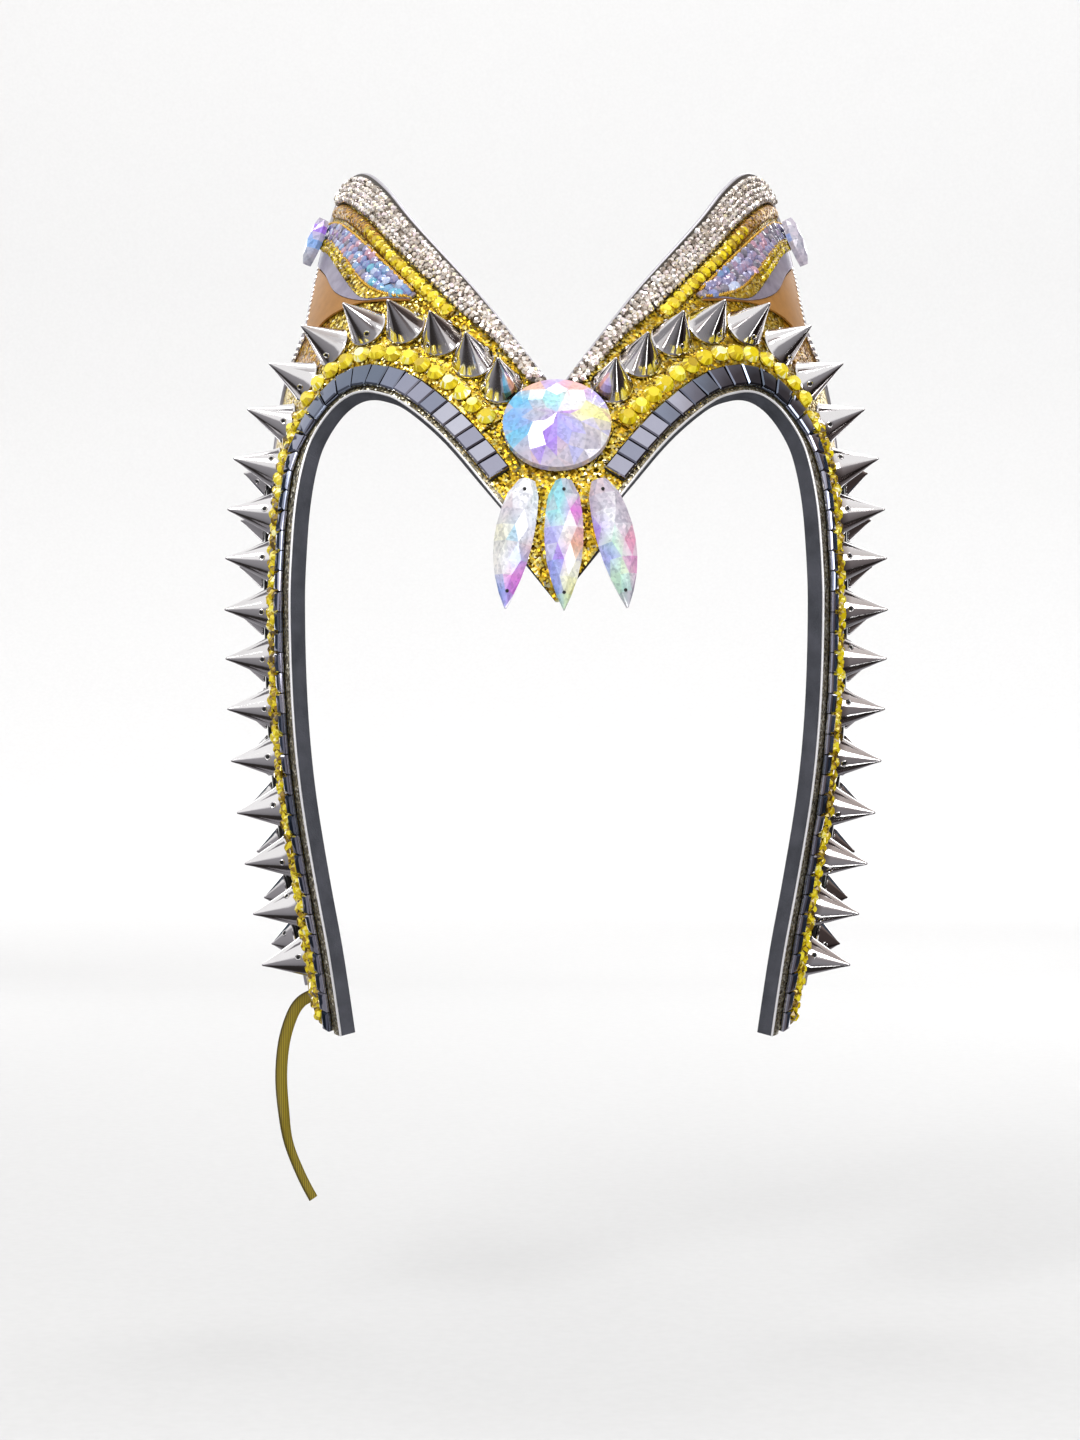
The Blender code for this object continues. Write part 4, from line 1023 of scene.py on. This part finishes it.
def make_tiles(hand, side):
    """Silvered acrylic tiles on a tape, each set a little out of true."""
    half = TILE_WIDTH / 2
    path = EDGE.lane(HEM_WIDTH + half)
    start = next(m for m, spot in zip(path.marks, path.spots) if shell_point(spot).x > TILE_START)
    end = hem_end(path, HEM_WIDTH + TILE_WIDTH)
    marks = stations(start, end, 1.6 * MM)
    columns = [
        [path.across(m, half - (2 * half - 1.3 * trimmed(m, path)) * (1 - c / 4)) for m in marks]
        for c in range(5)
    ]
    add_layer("tile_tape", hand, columns, [0.4] * 5, "tape", "mirror_tile")
    rng = random.Random(11 + side)
    gap, bevel, low, high, camber = 0.12 * MM, 0.34 * MM, 0.42 * MM, 1.45 * MM, 0.2 * MM
    shapes, tints = [], []
    ends = stations(start, end, TILE_PITCH)
    for a, b in zip(ends, ends[1:]):
        middle = path.across((a + b) / 2, trimmed(a, path) / 2)
        normal, centre = outward(*middle), shell_point(middle, GLUE_GAP)
        flat = []
        for mark, offset in (
            (a + gap, trimmed(a, path) - half), (b - gap, trimmed(b, path) - half),
            (b - gap, half), (a + gap, half),
        ):
            out = shell_point(path.across(mark, offset)) - shell_point(middle)
            flat.append(out - out.dot(normal) * normal)
        lean = Matrix.Rotation(rng.gauss(0, 0.035), 3, flat[1] - flat[0])
        lean = lean @ Matrix.Rotation(rng.gauss(0, 0.035), 3, flat[3] - flat[0])
        crown = camber * min(1.0, max(0.2, (a / path.length - 0.12) / 0.16))
        rings = []
        for inset, share, height in (
            (0.0, 1.0, low), (0.0, 1.0, high - 0.32 * MM), (bevel, 1.0, high),
            (bevel, 0.75, high + crown * 0.44), (bevel, 0.4, high + crown * 0.84),
            (bevel, 0.1, high + crown),
        ):
            ring = [(p - p.normalized() * inset * 1.3) * share for p in flat]
            rings.append([centre + lean @ p + normal * height for p in ring])
        shapes.append(loft(rings))
        # Round the arch's shoulder the tiles are tinted darker: painted shade, for the darker part
        # of the room that they reflect there
        shoulder = max(0.0, 1 - abs(a / path.length - 0.30) / 0.12)
        tints += [rng.uniform(0.25, 0.85) * (1 - 0.75 * shoulder)] * len(shapes[-1][1])
    add_half("mirror_tiles", hand, joined(*shapes), "mirror", "mirror_tile", "mirror_strip",
             tints=tints, smoothed=14)


def make_braid(hand, side):
    """A glittered braid with large citrine stones over the arch, and small ones down the side."""
    inner, half = HEM_WIDTH + TILE_WIDTH + TRIM_GAP, BRAID_WIDTH / 2
    path = EDGE.lane(inner + half)
    start = path.off_the_plaque(0.0, (-half, half))
    end = hem_end(path, inner + BRAID_WIDTH)
    heights = (0.35, 0.7, 0.85, 0.85, 0.85, 0.7, 0.35)
    add_layer("braid_glitter", hand, path.lanes(start, end, 1.4 * MM, -half, half), heights,
              "gold_film", "yellow_stone", replaces="gold_row")
    rng = random.Random(23 + side)
    shoulder = path.length * SHOULDER_SHARE
    places, lift = [], GLUE_GAP + 0.8 * MM
    for mark in middles(start, path.length * ARCH_SHARE, BRAID_PITCH):
        if mark > shoulder:
            break
        offset = rng.uniform(-0.3, 0.3) * MM
        lean = tipped(rng, 0.08)
        places.append(path.seat(mark, side, lift, offset, rng.uniform(0, 1), lean))
    add_stones("arch_stones", hand, ARCH_STONE, places, "citrine", "yellow_stone", rng, 0.55, 0.85)
    places, lift = [], GLUE_GAP + 0.55 * MM
    mark = shoulder + 1.0 * MM
    while mark < end - 1.0 * MM:
        offset = (-1.7, 1.5, -0.1)[len(places) % 3] * MM + rng.uniform(-0.4, 0.4) * MM
        lean = tipped(rng, 0.25)
        spin, size = rng.uniform(0, 3), rng.uniform(0.95, 1.4)
        places.append(path.seat(mark, side, lift, offset, spin, lean, size))
        mark += 1.0 * MM
    add_stones("side_stones", hand, SIDE_STONE, places, "citrine", "yellow_stone", rng,
               0.1, 0.75, 0.35)


def spike_shape(height, sides):
    """A cone with a rolled rim and two thread holes, each a lip round a near black plug of painted
    shade, and which finish each face has.
    """
    radius = SPIKE_DIAMETER / 2
    foot, rim = 0.93 * radius, 0.95 * MM
    profile = [(foot, 0.0), (radius * 0.99, 0.08 * MM), (radius, 0.3 * MM)]
    profile += [(radius * 0.99, 0.62 * MM), (radius * 0.955, 0.8 * MM), (foot, rim)]
    for share in [k / 6 for k in range(1, 6)]:
        profile.append((foot * (1 - share) + 0.3 * MM * share, rim + (height - 1.35 * MM) * share))
    point = ((0.42, 0.45), (0.3, 0.18), (0.14, 0.03), (0.03, 0.0))
    body = lathe(profile + [(r * MM, height - down * MM) for r, down in point], sides)
    lip = ((0.42, -0.2), (0.80, -0.1), (0.78, 0.06), (0.66, 0.15), (0.5, 0.1), (0.42, -0.02))
    lip = lathe([(r * MM, z * MM) for r, z in lip], 16)
    # The plug in each hole: painted shade in place of a cut hole
    dark = lathe([(0.4 * MM, -0.3 * MM), (0.44 * MM, 0.03 * MM)], 16)
    hole_height, wall = 2.5 * MM, math.atan2(foot, height)
    hole_reach = foot * (1 - (hole_height - rim) / (height - rim))
    shapes, picks = [body], [0] * len(body[1])
    for azimuth in (math.pi / 2, -math.pi / 2):
        place = Matrix.Rotation(azimuth, 4, "Z") @ Matrix.Translation((hole_reach, 0, hole_height))
        place = place @ Matrix.Rotation(math.pi / 2 - wall, 4, "Y")
        shapes += [copies(lip, [place]), copies(dark, [place])]
        picks += [0] * len(lip[1]) + [1] * len(dark[1])
    return joined(*shapes), picks


def make_spikes():
    row = HEM_WIDTH + TILE_WIDTH + BRAID_WIDTH + 2 * TRIM_GAP + SPIKE_DIAMETER / 2
    path = EDGE.lane(row)
    start = path.off_the_plaque(SPIKE_DIAMETER / 2)
    end = hem_end(path, row + SPIKE_DIAMETER / 2) - SPIKE_DIAMETER / 2 - SPIKE_END
    shape, picks = spike_shape(SPIKE_HEIGHT, 48)
    rng = random.Random(5)
    for hand, side in SIDES.items():
        for k in range(SPIKE_COUNT):
            share = k / (SPIKE_COUNT - 1)
            mark = start + (end - start) * share * (1 - SPIKE_SPREAD * (1 - share))
            place = path.seat(mark, side, GLUE_GAP, spin=rng.gauss(0, 0.35))
            name = f"spike_{hand}_{k + 1:02d}"
            add_piece(f"{name}_cone", copies(shape, [place]), "spike hole", "chromed_spike",
                      tints=rng.uniform(0.3, 0.7), picks=picks, smoothed=35, replaces=[name])


def make_rear_row(hand, side):
    """The second row of spikes, on a tape along the back of the side panel."""
    row = HEM_WIDTH + TILE_WIDTH + BRAID_WIDTH + 3 * TRIM_GAP + SPIKE_DIAMETER
    half = REAR_TAPE_WIDTH / 2
    path = EDGE.lane(row + half)
    on_side = [(m, spot.y) for m, spot in zip(path.marks, path.spots) if m > path.length / 3]
    start = next(m for m, height in on_side if height < level(REAR_START))
    end = hem_end(path, row + REAR_TAPE_WIDTH) - SPIKE_END
    add_layer("rear_tape", hand, path.lanes(start, end, 1.6 * MM, -half, half), [0.7] * 7,
              "tape", "chromed_spike", replaces="rear_spike_row")
    rng = random.Random(41 + side)
    lift = GLUE_GAP + 0.8 * MM
    marks = middles(start, end, REAR_PITCH)
    places = [path.seat(m, side, lift, spin=rng.gauss(0, 0.4)) for m in marks]
    shape, picks = spike_shape(REAR_SPIKE_HEIGHT, 40)
    add_piece(f"rear_spikes_{hand}", copies(shape, places), "spike hole", "chromed_spike",
              picks=picks * len(places), smoothed=35)


def make_wing_trims(hand, side):
    """Rhinestones on a knitted mesh along the wing's upper edge, and citrine stones below them."""
    upper = line_of([row[2:] for row in OUTLINE[:WING_ROWS]])
    lower = line_of(MESH_LOWER_EDGE)
    first = upper.off_the_plaque()

    def between(along, across):
        above = upper.spot(first + (upper.length - first) * along)
        return above.lerp(lower.spot(lower.length * along), across)

    steps, wide = 72, 8
    columns = [[between(s / steps, c / wide) for s in range(steps + 1)] for c in range(wide + 1)]
    add_layer("crystal_net", hand, columns, [0.75] * (wide + 1), "net", "crystal_mesh",
              replaces="crystal_band")
    rng = random.Random(61 + side)
    rows, places, lift = 5, [], GLUE_GAP + 0.65 * MM
    for r in range(rows):
        across = 0.10 + 0.88 * (r + 0.5) / rows
        line = Path([between(s / 96, across) for s in range(97)])
        mark = (0.6 + rng.uniform(0, 1.9)) * MM
        while mark < line.length - 0.6 * MM:
            lean = tipped(rng, 0.2)
            spin, size = rng.uniform(0, 3), rng.uniform(0.9, 1.08)
            places.append(line.seat(mark, side, lift, 0.0, spin, lean, size))
            mark += rng.uniform(1.75, 2.1) * MM
    add_stones("rhinestones", hand, RHINESTONE, places, "rhinestone", "crystal_mesh", rng,
               0.25, 0.95)

    end = lower.length - ROW_PITCH / 2
    columns = lower.lanes(ROW_START, end, 1.2 * MM, -TRIM_GAP, -TRIM_GAP - ROW_WIDTH)
    steps, wide = len(columns[0]) - 1, len(columns) - 1
    picks = [int(k // 2 % steps >= round(steps * 0.5)) for k in range(2 * steps * wide)]
    picks += [0] * (2 * (steps + wide))
    add_layer("wing_row_base", hand, columns, (0.45, 0.9, 1.15, 1.2, 1.15, 0.9, 0.45),
              "gold_film amber_film", "yellow_stone", replaces="wing_stone_row", picks=picks)
    stone = faceted([Vector((p.x * 0.82, p.y)) for p in disc(3.5 * MM, 10)],
                    [(1.0, 0.0, 0.0), (1.0, 0.35 * MM, 0.0), (0.62, 1.15 * MM, 0.5)])
    marks = middles(ROW_START, ROW_START + (end - ROW_START) * 0.6, 3.0 * MM)
    places, tints = [], []
    offset, lift = -TRIM_GAP - ROW_WIDTH / 2, GLUE_GAP + 0.75 * MM
    for k, mark in enumerate(marks):
        share = k / (len(marks) + 1)
        lean = tipped(rng, 0.07)
        spin, size = rng.gauss(0, 0.1), 1.0 - 0.25 * share
        places.append(lower.seat(mark, side, lift, offset, spin, lean, size))
        # Towards the wing's tip the stones are tinted darker and more amber: painted shade for
        # their weaker reflection there, over their random tints
        tints += [0.70 - 0.32 * share + rng.uniform(-0.28, 0.28) for _ in stone[1]]
    add_piece(f"wing_row_stones_{hand}", copies(stone, places), "citrine", "yellow_stone",
              tints=tints)


# The chips' tints at the wing's tip, middle and root. The right wing's are greyer and darker, as
# painted shade, since that wing is turned from the light
CHIP_TINTS = {
    "left": (
        (0.62, 0.86, 0.97, 0.55, 0.14), (0.5, 0.6, 0.74, 0.24, 0.9), (0.28, 0.5, 0.14, 0.4, 0.62)
    ),
    "right": (
        (0.62, 0.86, 0.97, 0.6, 0.9), (0.62, 0.86, 0.74, 0.64, 0.9), (0.62, 0.5, 0.86, 0.64, 0.14)
    ),
}
# Name, finish and height in millimetres, from the wing's upper edge down
PANELS = (
    ("chip_field", "lilac_foil", 0.6), ("gold_bar", "gold_film", 0.9),
    ("lilac_strip", "lilac_foil", 0.75), ("amber_panel", "amber_foil", 0.5),
)


def make_inlay(hand, side):
    """The wing's panels: rainbow chips, a gold bar, a lilac strip and an amber panel."""
    lines = [line_of(bounds) for bounds in zip(*INLAY)]

    def place_in(panel, along, across):
        a, b = lines[panel], lines[panel + 1]
        return a.spot(a.length * along).lerp(b.spot(b.length * along), across)

    steps, wide, margin = 36, 5, 0.02
    for panel, (name, finish_name, height) in enumerate(PANELS):
        shares = [margin + (1 - 2 * margin) * c / wide for c in range(wide + 1)]
        columns = [[place_in(panel, s / steps, c) for s in range(steps + 1)] for c in shares]
        add_layer(name, hand, columns, [height] * (wide + 1), finish_name, "wing_inlay",
                  replaces="wing_inlay" if panel == 0 else "")
    rng = random.Random(83 + side)
    chip = ((1.0, 0.0, 0.0), (1.0, 0.35 * MM, 0.0), (0.55, 0.8 * MM, 0.5))
    chip = faceted(disc(2.7 * MM, 7), chip)
    field, bar = lines[:2]
    places, tints, lift = [], [], GLUE_GAP + 0.55 * MM
    mark = 2.0 * MM
    while mark < field.length - 1.5 * MM:
        along = mark / field.length
        ahead = field.tangent(min(mark, field.length - MM))
        width = (shell_point(place_in(0, along, 0)) - shell_point(place_in(0, along, 1))).length
        count = max(1, round(width / (2.3 * MM)))
        size = min(1.1, width / (2.6 * MM))
        choices = CHIP_TINTS[hand][min(2, int(3 * (1 - along)))]
        for k in range(count):
            across = (k + 0.5 + rng.uniform(-0.15, 0.15)) / count
            lean = tipped(rng, 0.12)
            jitter = rng.uniform(-0.4, 0.4) * MM
            spot = place_in(0, along + jitter / field.length, across)
            places.append(seat(spot, ahead, side, lift, rng.uniform(0, 3), lean, size))
            own = rng.choice(choices)
            tints += [own + rng.uniform(-0.04, 0.04) for _ in chip[1]]
        mark += 2.2 * MM
    add_piece(f"rainbow_chips_{hand}", copies(chip, places), "coated_chip", "iridescent_stone",
              tints=tints)
    places, lift = [], GLUE_GAP + 0.8 * MM
    mark = 0.45 * bar.length
    while mark < bar.length - 1.0 * MM:
        for across in (0.27, 0.73):
            spot, spin = place_in(1, mark / bar.length, across), rng.uniform(0, 3)
            places.append(seat(spot, bar.tangent(mark), side, lift, spin, tipped(rng, 0.2), 0.9))
        mark += 1.9 * MM
    add_stones("gold_bar_stones", hand, BAR_STONE, places, "citrine", "yellow_stone", rng,
               0.15, 0.45)
    for name, line in (("upper", field), ("lower", bar)):
        marks = stations(1.0 * MM, line.length - 0.5 * MM, 0.3 * MM)
        points = [shell_point(line.spot(m), GLUE_GAP + 0.95 * MM) for m in marks]
        normals = [outward(*line.spot(m)) for m in marks]
        cord = twisted_cord(points, normals, 0.45 * MM, 1.7 * MM)
        add_half(f"panel_cord_{name}", hand, cord, "gold_cord", "gold_glitter", smoothed=60)
    rim = list(zip(RIM.marks, RIM.spots))
    start = next(m for m, s in rim if m > RIM.length * 0.2 and s.y < level(0.66))
    end = next(m for m, s in rim if m > start and s.y < level(0.33))
    places = [
        RIM.seat(m, side, 0.15 * MM, -1.0 * MM, rng.uniform(0, 3))
        for m in stations(start, end, 1.6 * MM)
    ]
    add_stones("edge_chain", hand, CHAIN_STONE, places, "rhinestone", "crystal_mesh", rng,
               0.4, 0.9)


def plaque_half_width(height, point_height):
    share = height / point_height
    if share < PLAQUE_TAIL[0][0]:
        rise = height / math.cos(BROW_SLOPE)
        return math.sqrt(max((ROUND_STONE / 2 + PLAQUE_RIM) ** 2 - rise**2, 0.0))
    last = len(PLAQUE_TAIL) - 2
    k = next((i for i in range(last) if share <= PLAQUE_TAIL[i + 1][0]), last)
    (low, start), (high, end) = PLAQUE_TAIL[k], PLAQUE_TAIL[k + 1]
    return (start + (end - start) * (share - low) / (high - low)) * PLAQUE_WIDTH / 2


def make_plaque():
    """The glittered plaque, whose foam edge shows dark along its tail."""
    point_height = level(OUTLINE[0][1]) - PLAQUE_OVERHANG
    crest = (ROUND_STONE / 2 + PLAQUE_RIM) * math.cos(BROW_SLOPE)
    start, steps = PLAQUE_TAIL[0][0] * point_height, 44
    heights = [crest * math.sin(math.radians(88 - k * 6)) for k in range(16)]
    heights = [h for h in heights if h > start + 0.4 * MM]
    heights += [start + (point_height - start) * k / steps for k in range(steps + 1)]
    rows = [(height, plaque_half_width(height, point_height)) for height in heights]
    shares = [-1.0] + [(k / 12 * 2 - 1) * 0.94 for k in range(13)] + [1.0]
    columns = [[spot_across(share * half, height) for height, half in rows] for share in shares]
    shape = slab(columns, GLUE_GAP, [GLUE_GAP + PLAQUE_THICKNESS] * len(columns))
    edge = 2 * (len(rows) - 1)
    panels = edge * (len(columns) - 1)
    tail = next(i for i, height in enumerate(heights) if height < PLAQUE_TAIL[2][0] * point_height)
    picks = []
    for k in range(panels):
        at_edge = not edge <= k < panels - edge and k % edge // 2 >= tail
        picks.append(1 if at_edge else k % 2)
    picks += [1] * (len(shape[1]) - panels)
    add_piece("plaque_glitter", shape, "gold_film foam_skin", "gold_glitter", picks=picks,
              smoothed=50, replaces=["centre_plaque"])


def round_jewel(diameter, height):
    """A chessboard-cut round stone: rows of kites over a girdle."""
    count, fine, girdle = 10, 4, 0.34
    radii = (1.0, 0.84, 0.66, 0.46, 0.24, 0.0)
    heights = [0.0, 0.42]
    for k in range(2, len(radii)):
        span = radii[k - 2] - radii[k]
        reach = radii[k - 2] - radii[k - 1] * math.cos(math.pi / count)
        heights.append(heights[k - 2] + (heights[k - 1] - heights[k - 2]) * span / reach)
    scale = (1 - girdle) / heights[-1]
    heights = [girdle + h * scale for h in heights]
    points, faces = [], []

    def ring(share, rise, number, phase=0.0):
        for k in range(number):
            angle, reach = TAU * (k + phase) / number, share * diameter / 2
            points.append((reach * math.cos(angle), reach * math.sin(angle), rise * height))
        return list(range(len(points) - number, len(points)))

    around = count * fine
    back, low_rim, rim = (ring(s, h, around) for s, h in ((0.95, 0.0), (1.0, 0.07), (1.0, girdle)))
    faces.append(back)
    for low, high in ((back, low_rim), (low_rim, rim)):
        for k in range(around):
            n = (k + 1) % around
            faces.append([low[k], low[n], high[n], high[k]])
    rows = [rim[::fine]]
    for k in range(1, len(radii) - 1):
        rows.append(ring(radii[k], heights[k], count, 0.5 if k % 2 else 0.0))
    points.append((0, 0, height))
    rows.append([len(points) - 1] * count)
    for k in range(around):
        faces.append([rim[k], rim[(k + 1) % around], rows[1][k // fine]])
    for r in range(len(rows) - 2):
        shift = r % 2
        for k in range(count):
            low, top = rows[r][k], rows[r + 2][k]
            left, right = rows[r + 1][k - 1 + shift], rows[r + 1][(k + shift) % count]
            faces += [[low, right, top], [low, top, left]]
    return points, faces


def coat_colour(tint):
    """The rainbow coat's colour at a tint from 0 to 1."""
    tint = min(max(tint, 0.0), 1.0)
    k = next(i for i in range(len(COAT_STOPS) - 1) if tint <= COAT_STOPS[i + 1][0])
    (low, start), (high, end) = COAT_STOPS[k], COAT_STOPS[k + 1]
    share = (tint - low) / (high - low)
    return [a + (b - a) * share for a, b in zip(tone(start), tone(end))]


# Pools of the coat's colour on each stone: x and y from its middle, and reach, in millimetres,
# and the tint
COAT_POOLS = {
    "round": (
        (-8.0, 6.0, 3.0, 0.42), (-10.0, 0.0, 3.0, 0.47), (-8.5, -4.5, 3.0, 0.41),
        (-4.5, 0.5, 2.6, 0.97), (-1.0, 5.0, 3.2, 0.34), (-5.5, 10.0, 3.2, 0.89),
        (-1.0, 9.5, 2.4, 0.61), (4.0, 9.5, 3.4, 0.85), (9.5, 6.0, 2.8, 0.59),
        (3.5, 3.5, 3.0, 0.02), (8.0, 2.0, 3.6, 0.16), (1.2, 0.2, 1.8, 0.67),
        (2.5, -3.8, 2.8, 0.57), (-3.0, -6.0, 4.2, 0.64), (6.5, -6.5, 3.6, 0.97),
        (0.5, -11.0, 3.2, 0.95), (-7.5, -8.5, 2.8, 0.96),
    ),
    "left": (
        (0, 12, 4.5, 0.01), (-2, 7, 3.0, 0.96), (2, 7, 2.6, 0.0), (-2.5, 2, 2.4, 0.10),
        (-0.6, 2, 2.0, 0.43), (1.4, 2, 2.6, 0.0), (3.4, 0, 2.2, 0.91), (-2, -5, 3.4, 0.05),
        (0.4, -4, 2.2, 0.52), (2.0, -7, 2.4, 0.75), (1.2, -10, 2.2, 0.73),
        (-1.8, -11, 2.6, 0.52), (0, -14, 2.0, 0.58),
    ),
    "centre": (
        (-1.5, 12, 3.0, 0.36), (1.5, 13, 2.2, 0.95), (2.4, 7.5, 2.4, 0.74), (-1.0, 7, 2.4, 0.35),
        (-2.6, 2, 2.4, 0.57), (0.4, 3, 2.2, 0.03), (3.4, 1, 2.4, 0.90), (-0.4, -3.5, 2.2, 0.66),
        (-3.2, -5, 2.4, 0.52), (1.8, -5, 2.8, 0.08), (-2, -10, 2.4, 0.51),
        (1.6, -10, 2.4, 0.15), (0, -14, 2.4, 0.27),
    ),
    "right": (
        (-1, 13, 3.0, 0.94), (-2.5, 9, 2.2, 0.97), (-3.6, 4, 2.4, 0.62), (0, 6, 2.6, 0.0),
        (2.8, 6, 2.4, 0.95), (3.4, 0, 2.4, 0.81), (0, 0, 2.4, 0.29), (-2.8, -3, 2.4, 0.55),
        (0.5, -6, 2.6, 0.27), (2.6, -6, 2.2, 0.77), (0, -10, 2.4, 0.30), (1.5, -12, 2.4, 0.97),
    ),
    "edge_left": (
        (0, 3.2, 2.6, 0.66), (0, -0.6, 2.4, 0.47), (0, -4.4, 2.4, 0.99), (0, 5.8, 1.4, 0.97),
    ),
    # The right edge stone's pools are greyer than the left's: painted shade, since the right wing
    # is turned from the light
    "edge_right": (
        (0, 3.2, 2.6, 0.96), (0, -0.6, 2.4, 0.99), (0, -4.4, 2.4, 0.95), (0, 5.8, 1.4, 0.97),
    ),
}


def jewel_coat(shape, rng, key, clear, spread, softness):
    """The coat at every corner of a stone's facets. A facet takes the pool that it lies in, or
    else a clear tint, and softness is how far its corners run into the pools around."""
    points, faces = shape
    pools = [(x * MM, y * MM, reach * MM, tint) for x, y, reach, tint in COAT_POOLS[key]]
    hues = [coat_colour(pool[3]) for pool in pools]

    def depth(pool, x, y):
        return math.hypot(x - pool[0], y - pool[1]) / pool[2]

    around = []
    for x, y, _ in points:
        weights = [1 / (0.04 + depth(pool, x, y) ** 4) for pool in pools]
        total = sum(weights)
        around.append([sum(w * hue[c] for w, hue in zip(weights, hues)) / total for c in range(4)])
    coat = []
    for face in faces:
        x = sum(points[i][0] for i in face) / len(face)
        y = sum(points[i][1] for i in face) / len(face)
        best = min(pools, key=lambda pool: depth(pool, x, y))
        tint = best[3] if depth(best, x, y) < 1 else rng.choice(clear)
        own = coat_colour(tint + rng.uniform(-spread, spread))
        coat += [[a + (b - a) * softness for a, b in zip(own, around[i])] for i in face]
    return coat


def make_round_stone():
    spot = Vector((0, 0))
    lift = seat_lift(disc(ROUND_STONE, 16), spot, GLUE_GAP + PLAQUE_THICKNESS)
    shape = round_jewel(ROUND_STONE, ROUND_STONE_HEIGHT)
    coat = jewel_coat(shape, random.Random(3), "round", (0.97, 0.03, 0.93, 0.57), 0.025, 0.5)
    add_piece("round_jewel", copies(shape, [standing(spot, lift)]), "coated_stone",
              "iridescent_stone", coat=coat, replaces=["centre_stone"])


def long_jewel(outline, width, length, height, rows_along, lanes, bow):
    """A long stone in a harlequin cut, with its point at -y, whose middle bows aside."""
    points, faces, rows = [], [], []
    for i in range(rows_along + 1):
        share, odd = i / rows_along, i % 2
        inside = min(max(share, 0.012), 0.985)
        half = smooth(outline, 1, inside) * width / 2
        bend = bow * (1 - (1 - 2 * share) ** 2)
        laterals = [-1 + 2 * (k + 0.5 * odd) / lanes for k in range(lanes + 1 - odd)]
        laterals = [-1, *laterals, 1] if odd else laterals
        end = math.sin(math.pi * (0.16 + share * 0.78)) ** 0.5
        rows.append((laterals, list(range(len(points), len(points) + len(laterals)))))
        for s in laterals:
            z = height * (0.36 + 0.64 * (1 - abs(s) ** 2.2) * end)
            points.append((bend + s * half, (0.5 - inside) * length, z))
    for (la, a), (lb, b) in zip(rows, rows[1:]):
        i = j = 0
        while i < len(a) - 1 or j < len(b) - 1:
            if j == len(b) - 1 or (i < len(a) - 1 and la[i + 1] <= lb[j + 1]):
                faces.append([a[i], a[i + 1], b[j]])
                i += 1
            else:
                faces.append([a[i], b[j + 1], b[j]])
                j += 1
    rim = [row[0] for _, row in rows] + rows[-1][1][1:-1]
    rim += [row[-1] for _, row in reversed(rows)] + rows[0][1][1:-1][::-1]
    low = list(range(len(points), len(points) + len(rim)))
    points += [(points[i][0] * 0.95, points[i][1] * 0.985, 0.0) for i in rim]
    for k in range(len(rim)):
        n = (k + 1) % len(rim)
        faces.append([rim[k], low[k], low[n], rim[n]])
    return points, faces + [low[::-1]]


def drop_back(bow):
    """The outline of a drop's back."""
    rows = DROP_OUTLINE + tuple((share, -half) for share, half in reversed(DROP_OUTLINE[:-1]))
    outline = []
    for share, half in rows:
        bend = bow * DROP_BEND * (1 - (1 - 2 * share) ** 2)
        outline.append(Vector((bend + half * DROP_WIDTH / 2, (0.5 - share) * DROP_LENGTH)))
    return outline


def make_drops():
    top = -(ROUND_STONE / 2 + DROP_GAP) * math.cos(BROW_SLOPE)
    # Each of the drop's thread holes is a plug in the hole finish: painted shade in place of a cut
    # hole
    hole = lathe([(0.36 * MM, -0.3 * MM), (0.42 * MM, 0.0), (0.4 * MM, 0.08 * MM)], 12)
    ends = [
        Matrix.Translation((0, share * DROP_LENGTH, rise * DROP_HEIGHT))
        for share, rise in ((0.40, 0.93), (-0.37, 0.83))
    ]
    for name, top_x, degrees, bow in DROPS:
        splay = math.radians(degrees)
        height = top - DROP_LENGTH / 2 * math.cos(splay)
        spot = spot_across(top_x + math.sin(splay) * DROP_LENGTH / 2, height)
        lift = seat_lift(drop_back(bow), spot, GLUE_GAP + PLAQUE_THICKNESS, splay)
        bend = bow * DROP_BEND
        shape = long_jewel(DROP_OUTLINE, DROP_WIDTH, DROP_LENGTH, DROP_HEIGHT, 8, 3, bend)
        coat = jewel_coat(shape, random.Random(17 + bow), name, (0.96, 0.02, 0.0), 0.03, 0.6)
        holes = copies(hole, ends)
        coat += [[1.0] * 4] * sum(len(face) for face in holes[1])
        placed = copies(joined(shape, holes), [standing(spot, lift, splay)])
        add_piece(f"drop_jewel_{name}", placed, "coated_stone hole", "iridescent_stone", coat=coat,
                  picks=[0] * len(shape[1]) + [1] * len(holes[1]), replaces=[f"drop_{name}"])


def make_edge_stone(hand, side):
    turn, share = EDGE_STONE_SPOT
    spot = Vector((side * turn, level(share)))
    outline = [
        Vector((s * h * EDGE_STONE_WIDTH / 2, (0.5 - y) * EDGE_STONE_LENGTH))
        for y, h in NAVETTE for s in (-1, 1)
    ]
    place = standing(spot, seat_lift(outline, spot, 2.0 * MM))
    shape = long_jewel(NAVETTE, EDGE_STONE_WIDTH, EDGE_STONE_LENGTH, EDGE_STONE_HEIGHT, 6, 3, 0.0)
    rng = random.Random(29 + side)
    coat = jewel_coat(shape, rng, f"edge_{hand}", (0.97, 0.5, 0.95), 0.02, 0.35)
    add_piece(f"edge_jewel_{hand}", copies(shape, [place]), "coated_stone", "iridescent_stone",
              coat=coat, replaces=[f"wing_edge_stone_{hand}"])


def main():
    make_camera()
    make_tie()
    make_hood()
    make_plaque()
    make_round_stone()
    make_drops()
    make_spikes()
    for hand, side in SIDES.items():
        make_edge_trims(hand)
        for make in (make_tiles, make_braid, make_rear_row, make_wing_trims, make_inlay):
            make(hand, side)
        make_edge_stone(hand, side)
    make_cove()
    make_room()
    make_lights()
    make_flags()
    bpy.context.scene.view_settings.view_transform = "Standard"


main()
